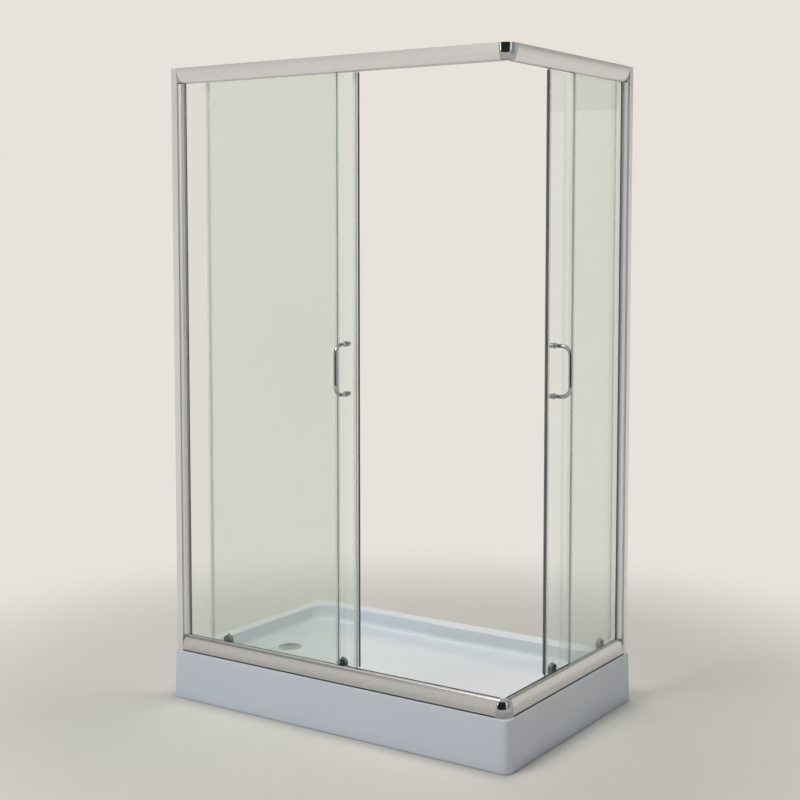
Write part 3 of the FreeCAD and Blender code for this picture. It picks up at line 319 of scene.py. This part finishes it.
gasket_rubber = rubber("gasket_rubber", (0.022, 0.023, 0.024), (0.045, 0.046, 0.046), 0.5, 0.72)
pane_rubber = rubber("pane_rubber_grey", (0.24, 0.25, 0.245), (0.29, 0.30, 0.295), 0.42, 0.6)
magnet_black = rubber("magnet_strip_black", (0.03, 0.032, 0.033), (0.055, 0.057, 0.058), 0.32, 0.48)
wear(["waste_gasket", "glazing_rubbers", "door_stops", "sill_base_strips"], gasket_rubber)
wear(["upright_gaskets"], pane_rubber)
wear(["front_magnet_strip", "side_magnet_strip"], magnet_black)

# %% [markdown]
# ## Clear seals
# The seals on the panes' edges are pushed on and made of soft clear plastic. Such a thin profile lets most
# of what lies behind it through. Its Alpha is low for that, and no light is bent, which keeps the edges
# behind it straight. Fine lines run along it, as it comes from the extruder.

# %% Clear seals
seal_plastic, shader = new_finish("seal_clear_plastic", IOR=1.45, Alpha=0.2)
pulled = grain(seal_plastic, 260.0, (1.0, 1.0, 0.01), detail=3.0)
vary_colour(seal_plastic, shader, pulled, (0.74, 0.77, 0.78), (0.86, 0.88, 0.89))
vary_roughness(seal_plastic, shader, pulled, 0.16, 0.34)
add_relief(seal_plastic, shader, pulled, 0.00001, 0.25)
wear(["fixed_edge_seals", "front_magnet_seal", "side_magnet_seal", "front_wipe_seal", "side_wipe_seal"],
     seal_plastic)

# %% [markdown]
# ## Toughened panes
# A pane is 5 mm of float glass. Looked through, it takes a little light and leaves a faint green tint.
# Its ground edges are seen end on, through many centimetres of glass, so they are much greener. Before
# toughening every edge gets a small arris, a flat of under a millimetre that keeps it from chipping.
#
# Glass needs a trick. A lamp's light has to pass through it to what lies behind, but a ray that looks for
# a lamp is stopped by any refracting surface. So that ray alone is let through by a Transparent shader,
# with the Light Path node as the switch.

# %% Glass finishes
def let_lamps_through(finish, shader, shade):
    """What looks for a lamp passes through the finish and takes only this shade."""
    tree = finish.node_tree
    path = tree.nodes.new("ShaderNodeLightPath")
    passing = tree.nodes.new("ShaderNodeBsdfTransparent")
    passing.inputs["Color"].default_value = (*shade, 1.0)
    switch = tree.nodes.new("ShaderNodeMixShader")
    tree.links.new(path.outputs["Is Shadow Ray"], switch.inputs[0])
    tree.links.new(shader.outputs["BSDF"], switch.inputs[1])
    tree.links.new(passing.outputs["BSDF"], switch.inputs[2])
    tree.links.new(switch.outputs["Shader"], tree.nodes["Material Output"].inputs["Surface"])


pane_glass, shader = new_finish("pane_glass", Transmission_Weight=1.0, IOR=1.5)
vary_colour(pane_glass, shader, grain(pane_glass, 1.2), (0.885, 0.922, 0.89), (0.905, 0.936, 0.908))
vary_roughness(pane_glass, shader, grain(pane_glass, 9.0, detail=5.0), 0.0, 0.012)
let_lamps_through(pane_glass, shader, (0.90, 0.93, 0.91))

edge_glass, shader = new_finish("pane_ground_edge", Transmission_Weight=0.7, IOR=1.5)
vary_colour(edge_glass, shader, grain(edge_glass, 40.0), (0.16, 0.33, 0.27), (0.28, 0.46, 0.39))
vary_roughness(edge_glass, shader, grain(edge_glass, 500.0), 0.18, 0.34)
let_lamps_through(edge_glass, shader, (0.5, 0.62, 0.57))
print("glass finishes:", pane_glass.name, edge_glass.name)

# %% [markdown]
# ## From a solid to a new piece
# A solid arrives as flat facets with split corners. Welding the corners and joining the flat facets gives
# one clean closed mesh to work on. A finished mesh then becomes a piece: it gets its materials, is shaded
# smooth up to a crease, rides on its body and takes the solid's place.

# %% Piece helpers
weld_distance = 1e-6
flat_enough = math.radians(0.3)
crease_angle = math.radians(35)


def welded_copy(node):
    """The solid's surface as one closed mesh, with its flat facets joined."""
    surface = bmesh.new()
    surface.from_mesh(nodes[node].data)
    bmesh.ops.remove_doubles(surface, verts=surface.verts, dist=weld_distance)
    bmesh.ops.dissolve_limit(surface, angle_limit=flat_enough, verts=surface.verts, edges=surface.edges)
    return surface


def finish_piece(name, surface, finishes, body, replaced):
    """Turns the mesh into a piece on its body, in place of the named solids."""
    mesh = bpy.data.meshes.new(name)
    surface.to_mesh(mesh)
    surface.free()
    for finish in finishes:
        mesh.materials.append(finish)
    mesh.shade_smooth()
    mesh.set_sharp_from_angle(angle=crease_angle)
    piece = bpy.data.objects.new(name, mesh)
    bpy.context.scene.collection.objects.link(piece)
    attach(piece, body)
    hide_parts(*replaced)
    return piece


def body_of_node(node):
    """The body that the record puts this solid on."""
    for body, members in frame["record"]["behaviour"]["bodies"].items():
        if node in members:
            return body


print("creases start at", round(math.degrees(crease_angle)), "degrees")

# %% [markdown]
# The new pane is a copy of the solid with that arris cut along its outer edges, which are the only long
# ones: the rims of the drilled holes are made of short edges. Faces that don't look along the pane's
# thickness take the edge's finish.

# %% Arrised panes
arris = 0.8 * millimetre
long_edge = 0.1
along_thickness = 0.95


def arrised_pane(node, thickness_axis):
    surface = welded_copy(node)
    rims = [edge for edge in surface.edges
            if edge.calc_length() > long_edge and edge.calc_face_angle(0.0) > crease_angle]
    bmesh.ops.bevel(surface, geom=rims, offset=arris, segments=1, profile=0.5, affect="EDGES",
                    clamp_overlap=True)
    for face in surface.faces:
        face.material_index = 0 if abs(face.normal[thickness_axis]) > along_thickness else 1
    return finish_piece("pane_" + node, surface, [pane_glass, edge_glass], body_of_node(node),
                        [node])


panes = [arrised_pane("fixed_glass_front", 1), arrised_pane("front_door_glass", 1),
         arrised_pane("fixed_glass_side", 0), arrised_pane("side_door_glass", 0)]
print("panes:", [(pane.name, len(pane.data.polygons)) for pane in panes])

# %% [markdown]
# ## Moulded plastics
# The bottom roller blocks, their sliders, the trap, the feet's pads and the wheels are injection moulded.
# Such a part has the mould's fine texture and a tone that hardly varies. One function makes all these
# finishes, because they differ only in tone, in gloss and in how fine the texture is.

# %% Moulded finishes
def moulded(name, dark, light, smooth, rough, texture=700.0):
    finish, shader = new_finish(name, IOR=1.46)
    vary_colour(finish, shader, grain(finish, 30.0), dark, light)
    skin = grain(finish, texture, detail=2.0)
    vary_roughness(finish, shader, skin, smooth, rough)
    add_relief(finish, shader, skin, 0.00003, 0.6)
    return finish


block_grey = moulded("roller_block_grey", (0.125, 0.145, 0.145), (0.155, 0.175, 0.172), 0.30, 0.44)
button_grey = moulded("release_grey", (0.20, 0.22, 0.22), (0.24, 0.26, 0.255), 0.28, 0.42)
trap_white = moulded("trap_white", (0.70, 0.705, 0.69), (0.76, 0.762, 0.75), 0.34, 0.5, 350.0)
foot_black = moulded("foot_black", (0.018, 0.018, 0.019), (0.035, 0.035, 0.036), 0.42, 0.6)
nylon_white = moulded("wheel_nylon", (0.66, 0.66, 0.63), (0.74, 0.74, 0.71), 0.3, 0.46, 500.0)
print("plastics:", block_grey.name, button_grey.name, trap_white.name, foot_black.name, nylon_white.name)

# %% [markdown]
# A mould also leaves soft edges. One function eases them: it takes the welded copy of a solid, picks the
# outside edges that turn sharply and rounds them. The frame under the tray is steel tube, but its edges are
# round too, so it goes through the same function.

# %% Blocks with eased edges
sharp_turn = math.radians(60)
round_steps, round_profile = 2, 0.6


def eased(node, radius, finish):
    """A copy of the solid whose sharp outside edges are rounded. The radius is in millimetres."""
    surface = welded_copy(node)
    sharp = [edge for edge in surface.edges
             if edge.is_manifold and edge.is_convex and edge.calc_face_angle(0.0) > sharp_turn]
    bmesh.ops.bevel(surface, geom=sharp, offset=radius * millimetre, segments=round_steps,
                    profile=round_profile, affect="EDGES", clamp_overlap=True)
    finish_piece(node + "_eased", surface, [finish], body_of_node(node), [node])


sides = ("front", "side")
ends = ("trailing", "leading")
for side in sides:
    eased(side + "_roller_housings", 0.6, block_grey)
    for end in ends:
        eased(side + "_release_" + end, 0.5, button_grey)
eased("waste_trap", 1.2, trap_white)
eased("tray_support_frame", 1.5, galvanised)

# %% [markdown]
# ## Turned pieces
# Wheels, foot pads and nuts are all bodies of revolution, or nearly so. One helper spins a closed outline
# of radius and height about an axis. A radius may also be a rule that depends on the angle, and that is
# enough for a hexagon nut whose corners are cut by a cone. Outlines are in millimetres, and the matrix that
# places them scales them down.

# %% The turning helper
def turned(surface, outline, place, steps):
    """Adds a ring-shaped body to the mesh. The outline is a closed loop of (radius, height) pairs."""
    rings = []
    for step in range(steps):
        angle = 2 * math.pi * step / steps
        ring = []
        for radius, height in outline:
            reach = radius(angle) if callable(radius) else radius
            ring.append(surface.verts.new(place @ Vector((reach * math.cos(angle),
                                                          reach * math.sin(angle), height))))
        rings.append(ring)
    for step, ring in enumerate(rings):
        following = rings[(step + 1) % steps]
        for index, corner in enumerate(ring):
            beside = (index + 1) % len(ring)
            surface.faces.new((corner, following[index], following[beside], ring[beside]))


def middle_of(node):
    low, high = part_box(node)
    return (low + high) / 2


in_millimetres = Matrix.Scale(millimetre, 4)
print("the outlines' unit is", millimetre, "m")

# %% [markdown]
# A wheel is a nylon tyre on a small ball bearing. The tyre's groove runs on the rail's rib. The bearing's
# steel rings stand a little back from the tyre's face, with a shield between them. Half of the outline is
# enough, because the other half is its mirror image.

# %% Wheels
bore, race, tyre, groove = 3.55, 7.0, 11.5, 9.6
tyre_face, ring_face, shield_face = 3.0, 2.6, 2.35
wheel_half = [(bore, ring_face), (4.6, ring_face), (4.8, shield_face), (6.2, shield_face), (6.4, ring_face),
              (race, ring_face), (race + 0.25, tyre_face), (10.7, tyre_face), (11.2, 2.85), (tyre, 2.4),
              (tyre, 1.75), (11.3, 1.58), (9.8, 1.3), (groove, 1.1)]
wheel_outline = wheel_half + [(radius, -height) for radius, height in reversed(wheel_half)]
wheel_steps = 56
about_y = Matrix.Rotation(math.radians(90), 4, "X")
about_x = Matrix.Rotation(math.radians(90), 4, "Y")


def wheel(node, lying):
    """A wheel in place of the solid. What lies inside the race is steel and the rest is nylon."""
    surface = bmesh.new()
    centre = middle_of(node)
    turned(surface, wheel_outline, Matrix.Translation(centre) @ lying @ in_millimetres, wheel_steps)
    axis = lying @ Vector((0, 0, 1))
    for face in surface.faces:
        arm = face.calc_center_median() - centre
        face.material_index = 1 if (arm - axis * arm.dot(axis)).length < race * millimetre else 0
    bmesh.ops.recalc_face_normals(surface, faces=surface.faces)
    finish_piece(node + "_turned", surface, [nylon_white, brushed], body_of_node(node), [node])


for side, lying in (("front", about_y), ("side", about_x)):
    for end in ends:
        for level in ("top", "bottom"):
            wheel("%s_%s_wheel_%s" % (side, level, end), lying)

# %% [markdown]
# The tray stands on six levelling feet. A foot is a threaded rod with a moulded pad below and a lock nut
# under the frame. All rods arrive as one node, so its loose parts are told apart first, by walking from
# corner to corner along the edges.

# %% Where the feet stand
nut_low, nut_high = (corner.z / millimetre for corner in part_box("foot_nuts"))
rod_low, rod_high = (corner.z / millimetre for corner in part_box("foot_rods"))


def foot_centres():
    """The middle of each rod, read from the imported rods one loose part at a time."""
    surface = welded_copy("foot_rods")
    waiting = set(surface.verts)
    centres = []
    while waiting:
        to_visit = [waiting.pop()]
        xs, ys = [], []
        while to_visit:
            vertex = to_visit.pop()
            xs.append(vertex.co.x)
            ys.append(vertex.co.y)
            for edge in vertex.link_edges:
                other = edge.other_vert(vertex)
                if other in waiting:
                    waiting.remove(other)
                    to_visit.append(other)
        centres.append(((min(xs) + max(xs)) / 2, (min(ys) + max(ys)) / 2))
    surface.free()
    return sorted(centres)


feet = foot_centres()
print(len(feet), "feet; rods from", round(rod_low, 1), "to", round(rod_high, 1), "mm")

# %% [markdown]
# The thread is a surface whose radius rises and falls with the height minus the turn, so that its crest
# climbs one pitch in each turn. That is simpler than cutting a groove, and the mesh stays regular.

# %% Threaded rods
thread_crest, thread_root, pitch = 5.95, 5.05, 1.75
flank_slope, root_width = 2.4, 0.35
end_chamfer = 0.4
rows_per_turn, columns = 6, 20


def thread_radius(height, angle):
    """A trapezoid wave: flat crest, flat root and two flanks. The rod's ends are chamfered."""
    phase = (height / pitch - angle / (2 * math.pi)) % 1.0
    rise = min(max(flank_slope * (0.5 - abs(phase - 0.5)) - root_width, 0.0), 1.0)
    radius = thread_root + (thread_crest - thread_root) * rise
    to_end = min(height - rod_low, rod_high - height)
    return min(radius, thread_root - end_chamfer + to_end)


def threaded_rod(surface, centre):
    count = int((rod_high - rod_low) / pitch * rows_per_turn)
    rows = []
    for row in range(count + 1):
        height = rod_low + (rod_high - rod_low) * row / count
        ring = []
        for column in range(columns):
            angle = 2 * math.pi * column / columns
            reach = thread_radius(height, angle) * millimetre
            ring.append(surface.verts.new((centre[0] + reach * math.cos(angle),
                                           centre[1] + reach * math.sin(angle), height * millimetre)))
        rows.append(ring)
    for below, above in zip(rows, rows[1:]):
        for column in range(columns):
            beside = (column + 1) % columns
            surface.faces.new((below[column], below[beside], above[beside], above[column]))
    surface.faces.new(list(reversed(rows[0])))
    surface.faces.new(rows[-1])


rods = bmesh.new()
for centre in feet:
    threaded_rod(rods, centre)
finish_piece("foot_rods_threaded", rods, [zinc], "root", ["foot_rods"])
print("thread pitch", pitch, "mm")

# %% [markdown]
# Pads and nuts are turned with the helper above. A pad has a plain outline round its rod. A nut is a hexagon
# whose corners are cut by a cone above and below, so four of its radii are rules.

# %% Pads and lock nuts
rod_hole, mould_gate = 6.05, 0.4
pad_radius, pad_top, pad_floor = 21.2, 12.0, 5.0
pad_outline = [(mould_gate, 0.0), (pad_radius, 0.0), (21.1, 0.7), (19.4, 2.9), (18.7, 3.1), (13.7, 9.1),
               (13.0, 9.3), (12.1, 11.2), (11.5, pad_top), (6.8, pad_top), (rod_hole, 11.4),
               (rod_hole, pad_floor), (mould_gate, pad_floor)]
pad_steps = 48
nut_flat, nut_cone = 9.5, 9.3
hole_chamfer_wide, hole_chamfer_deep, corner_cut = 0.6, 0.8, 1.1
nut_steps = 72


def hexagon(angle):
    """Radius of a hexagon whose flats stand nut_flat from its middle."""
    return nut_flat / math.cos((angle + math.pi / 6) % (math.pi / 3) - math.pi / 6)


def cut_hexagon(angle):
    """The same with its corners cut by the cone."""
    return min(hexagon(angle), nut_cone)


nut_outline = [(rod_hole, nut_low + hole_chamfer_deep), (rod_hole + hole_chamfer_wide, nut_low),
               (cut_hexagon, nut_low), (hexagon, nut_low + corner_cut), (hexagon, nut_high - corner_cut),
               (cut_hexagon, nut_high), (rod_hole + hole_chamfer_wide, nut_high),
               (rod_hole, nut_high - hole_chamfer_deep)]
pads, nuts = bmesh.new(), bmesh.new()
for x, y in feet:
    stand = Matrix.Translation((x, y, 0)) @ in_millimetres
    turned(pads, pad_outline, stand, pad_steps)
    turned(nuts, nut_outline, stand @ Matrix.Rotation(math.radians(30), 4, "Z"), nut_steps)
for surface in (pads, nuts):
    bmesh.ops.recalc_face_normals(surface, faces=surface.faces)
finish_piece("foot_pads_turned", pads, [foot_black], "root", ["foot_pads"])
finish_piece("foot_nuts_cut", nuts, [zinc], "root", ["foot_nuts"])
print("pads", 2 * pad_radius, "mm wide, nuts", 2 * nut_flat, "mm across flats")

# %% [markdown]
# ## Return springs
# Pressing a release button drives its slider down against a small coil spring, and the bottom wheel drops
# off the rail, as is done to take a door's foot off the rail for cleaning. The spring is a wire bent to a
# helix with closed turns at both ends. How fast the wire climbs sets the coil apart from a plain screw: by
# one thickness of wire in a closed turn, so that the turns touch, and evenly in the open turns between.

# %% How the wire climbs
coil_radius, wire_radius = 2.1, 0.48
coil_turns, closed_turns = 11.0, 1.2
open_turns = coil_turns - 2 * closed_turns


def coil_height(share, low, high):
    """Height of the wire's middle: tight at both ends and open between."""
    turns_done = share * coil_turns
    tight = 2 * wire_radius
    wide = (high - low - 2 * wire_radius - 2 * closed_turns * tight) / open_turns
    climb = min(turns_done, closed_turns) * tight
    climb += min(max(turns_done - closed_turns, 0.0), open_turns) * wide
    climb += max(turns_done - (coil_turns - closed_turns), 0.0) * tight
    return low + wire_radius + climb


print("coils of", coil_turns, "turns,", closed_turns, "of them closed at each end")

# %% [markdown]
# The wire's outline is a ring of corners, carried along the helix. The spring stands on the block's floor
# and, in the real door, shortens as the button goes down; here the coil keeps its free length.

# %% Coil springs
steps_per_turn, wire_sides = 18, 8


def coil_spring(node):
    """A coil in place of the solid. Returns its free length in millimetres."""
    low_corner, high_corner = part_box(node)
    centre = middle_of(node)
    low, high = low_corner.z / millimetre, high_corner.z / millimetre
    count = int(coil_turns * steps_per_turn)
    surface = bmesh.new()
    rings = []
    for step in range(count + 1):
        share = step / count
        angle = 2 * math.pi * coil_turns * share
        outwards = Vector((math.cos(angle), math.sin(angle), 0))
        middle = Vector((centre.x, centre.y, 0)) + outwards * coil_radius * millimetre
        middle.z = coil_height(share, low, high) * millimetre
        ring = []
        for corner in range(wire_sides):
            around = 2 * math.pi * corner / wire_sides
            offset = outwards * math.cos(around) + Vector((0, 0, math.sin(around)))
            ring.append(surface.verts.new(middle + offset * wire_radius * millimetre))
        rings.append(ring)
    for ring, following in zip(rings, rings[1:]):
        for corner in range(wire_sides):
            beside = (corner + 1) % wire_sides
            surface.faces.new((ring[corner], ring[beside], following[beside], following[corner]))
    surface.faces.new(list(reversed(rings[0])))
    surface.faces.new(rings[-1])
    bmesh.ops.recalc_face_normals(surface, faces=surface.faces)
    piece = finish_piece(node + "_coil", surface, [zinc], body_of_node(node), [node])
    free_length = high - low
    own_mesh(piece)
    return free_length


lengths = [coil_spring("%s_release_spring_%s" % (side, end))
           for side in sides for end in ends]

# %% [markdown]
# ## Floor, lamps and boards
# The studio is plain. A pale floor runs out to the distance and turns into the pale surround without a
# line, because far from the tray it shines with the surround's own colour. The surround is what the camera,
# mirrors and glass see; for lighting it is a weak, cool sky.

# %% Surround
surround_colour = (0.80, 0.76, 0.708, 1.0)
sky_colour = (0.70, 0.86, 1.0, 1.0)
sky_strength = 0.15


def background(tree, colour, strength=1.0):
    shader = tree.nodes.new("ShaderNodeBackground")
    shader.inputs["Color"].default_value = colour
    shader.inputs["Strength"].default_value = strength
    return shader.outputs["Background"]


def either(tree, one, other):
    """The larger of two values, which is one where either is."""
    larger = tree.nodes.new("ShaderNodeMath")
    larger.operation = "MAXIMUM"
    tree.links.new(one, larger.inputs[0])
    tree.links.new(other, larger.inputs[1])
    return larger.outputs["Value"]


def build_surround():
    world = bpy.data.worlds.new("studio_surround")
    bpy.context.scene.world = world
    world.use_nodes = True
    tree = world.node_tree
    tree.nodes.clear()
    ray = tree.nodes.new("ShaderNodeLightPath").outputs
    seen = either(tree, ray["Is Camera Ray"], either(tree, ray["Is Glossy Ray"], ray["Is Transmission Ray"]))
    switch = tree.nodes.new("ShaderNodeMixShader")
    output = tree.nodes.new("ShaderNodeOutputWorld")
    tree.links.new(seen, switch.inputs[0])
    tree.links.new(background(tree, sky_colour, sky_strength), switch.inputs[1])
    tree.links.new(background(tree, surround_colour), switch.inputs[2])
    tree.links.new(switch.outputs["Shader"], output.inputs["Surface"])


build_surround()
print("surround", surround_colour[:3], "and sky", sky_colour[:3], "at", sky_strength)

# %% [markdown]
# The floor is a wide disc. Its finish measures the distance from the middle: near the tray it is an ordinary
# pale surface that takes light and shadow, and further out it fades into a glow of the surround's colour.

# %% The floor's finish
fade_start, fade_end = 0.9, 2.25
floor_colour = (0.80, 0.765, 0.72)
cloudiness = 0.985


def floor_finish():
    finish, shader = new_finish("studio_floor", Roughness=0.7, Specular_IOR_Level=0.2)
    dark = tuple(cloudiness * channel for channel in floor_colour)
    vary_colour(finish, shader, grain(finish, 2.0), dark, floor_colour)
    add_relief(finish, shader, grain(finish, 300.0), 0.0002, 0.3)
    tree = finish.node_tree
    coordinates = tree.nodes.new("ShaderNodeTexCoord")
    distance = tree.nodes.new("ShaderNodeVectorMath")
    distance.operation = "LENGTH"
    fade = tree.nodes.new("ShaderNodeMapRange")
    fade.interpolation_type = "SMOOTHSTEP"
    fade.inputs["From Min"].default_value = fade_start
    fade.inputs["From Max"].default_value = fade_end
    glow = tree.nodes.new("ShaderNodeEmission")
    glow.inputs["Color"].default_value = surround_colour
    blend = tree.nodes.new("ShaderNodeMixShader")
    tree.links.new(coordinates.outputs["Object"], distance.inputs[0])
    tree.links.new(distance.outputs["Value"], fade.inputs["Value"])
    tree.links.new(fade.outputs["Result"], blend.inputs[0])
    tree.links.new(shader.outputs["BSDF"], blend.inputs[1])
    tree.links.new(glow.outputs["Emission"], blend.inputs[2])
    tree.links.new(blend.outputs["Shader"], tree.nodes["Material Output"].inputs["Surface"])
    return finish


print("floor fades into the surround from", fade_start, "to", fade_end, "m")

# %% [markdown]
# The disc reaches so far that its rim can't be told from the surround. It belongs to the studio and not to
# the object, so it stands in the scene on its own instead of riding on a body.

# %% Floor
floor_reach = 60.0


def build_floor():
    mesh = bpy.data.meshes.new("studio_floor")
    disc = bmesh.new()
    bmesh.ops.create_circle(disc, cap_ends=True, radius=floor_reach, segments=96)
    disc.to_mesh(mesh)
    disc.free()
    mesh.materials.append(floor_finish())
    floor = bpy.data.objects.new("studio_floor", mesh)
    bpy.context.scene.collection.objects.link(floor)


build_floor()
print("floor disc of", 2 * floor_reach, "m")

# %% [markdown]
# A large soft lamp hangs in front and another above. Two narrow lamps of little power stand left and right
# of the camera, because chrome shows them as bright windows. A weak cool lamp fills the front of the tray.
# Neither it nor the lamp above shows in a mirror.

# %% Lamps
middle_height = 0.9
window_light = (1.0, 0.99, 0.97)


def facing(thing, place, target):
    """Stands the thing at the place and turns its front to the target."""
    thing.location = place
    thing.rotation_mode = "QUATERNION"
    thing.rotation_quaternion = (Vector(target) - Vector(place)).to_track_quat("-Z", "Y")


def soft_lamp(name, place, width, height, power, colour, mirrored=True):
    """A rectangular lamp that the camera doesn't see, turned to the middle of the enclosure."""
    data = bpy.data.lights.new(name, "AREA")
    data.shape = "RECTANGLE"
    data.size = width
    data.size_y = height
    data.energy = power
    data.color = colour
    lamp = bpy.data.objects.new(name, data)
    bpy.context.scene.collection.objects.link(lamp)
    lamp.visible_camera = False
    lamp.visible_transmission = False
    lamp.visible_glossy = mirrored
    facing(lamp, place, (0.0, 0.0, middle_height))


soft_lamp("key_lamp", (-0.9, -2.9, 4.9), 1.8, 1.8, 94.0, (1.0, 0.955, 0.89))
soft_lamp("top_lamp", (0.2, 0.7, 4.3), 2.0, 1.4, 72.0, (1.0, 0.97, 0.925), mirrored=False)
soft_lamp("cool_fill", (-2.6, -3.8, 1.3), 1.8, 1.8, 17.0, (0.48, 0.73, 1.0), mirrored=False)
soft_lamp("left_window", (-0.4, -4.4, 1.9), 0.5, 1.5, 5.5, window_light)
soft_lamp("right_window", (4.6, -1.4, 1.9), 0.5, 1.5, 3.0, window_light)

# %% [markdown]
# Chrome also needs something dark to mirror, and bright rails need some greys. So four boards stand round
# the studio, and only mirrors see them. A board's bearing is counted from the X axis, against the clock as
# seen from above; the camera's is about -56 degrees. The dark board makes the chrome's core, the bluish one
# its edge. The two high greys stand where the sills look, up and outwards, and above what the headers
# mirror, so the headers stay bright.

# %% Boards that only mirrors see
board_distance = 6.2
weave_dark, weave_light = 0.92, 1.08


def grey_board(name, bearing, width, low, high, shade):
    """An upright board at that bearing, with a steady shade of its own, however the lamps stand."""
    finish = bpy.data.materials.new(name)
    finish.use_nodes = True
    tree = finish.node_tree
    tree.nodes.remove(tree.nodes["Principled BSDF"])
    glow = tree.nodes.new("ShaderNodeEmission")
    weave = tree.nodes.new("ShaderNodeMixRGB")
    weave.inputs["Color1"].default_value = (*(weave_dark * channel for channel in shade), 1.0)
    weave.inputs["Color2"].default_value = (*(weave_light * channel for channel in shade), 1.0)
    tree.links.new(grain(finish, 2.0), weave.inputs["Fac"])
    tree.links.new(weave.outputs["Color"], glow.inputs["Color"])
    tree.links.new(glow.outputs["Emission"], tree.nodes["Material Output"].inputs["Surface"])
    mesh = bpy.data.meshes.new(name)
    half_width, half_height = width / 2, (high - low) / 2
    corners = [(-half_width, -half_height, 0), (half_width, -half_height, 0),
               (half_width, half_height, 0), (-half_width, half_height, 0)]
    mesh.from_pydata(corners, [], [(0, 1, 2, 3)])
    mesh.materials.append(finish)
    board = bpy.data.objects.new(name, mesh)
    bpy.context.scene.collection.objects.link(board)
    angle = math.radians(bearing)
    middle = (low + high) / 2
    facing(board, (board_distance * math.cos(angle), board_distance * math.sin(angle), middle),
           (0.0, 0.0, middle))
    board.visible_camera = False
    board.visible_diffuse = False
    board.visible_transmission = False
    board.visible_shadow = False


grey_board("board_behind_camera", -62, 9.0, 0.02, 4.8, (0.035, 0.037, 0.04))
grey_board("board_right", 2, 3.6, 0.02, 4.8, (0.40, 0.48, 0.54))
grey_board("board_high_left", -146, 5.6, 2.6, 6.5, (0.21, 0.22, 0.25))
grey_board("board_high_back", 78, 7.0, 2.3, 6.5, (0.26, 0.26, 0.235))
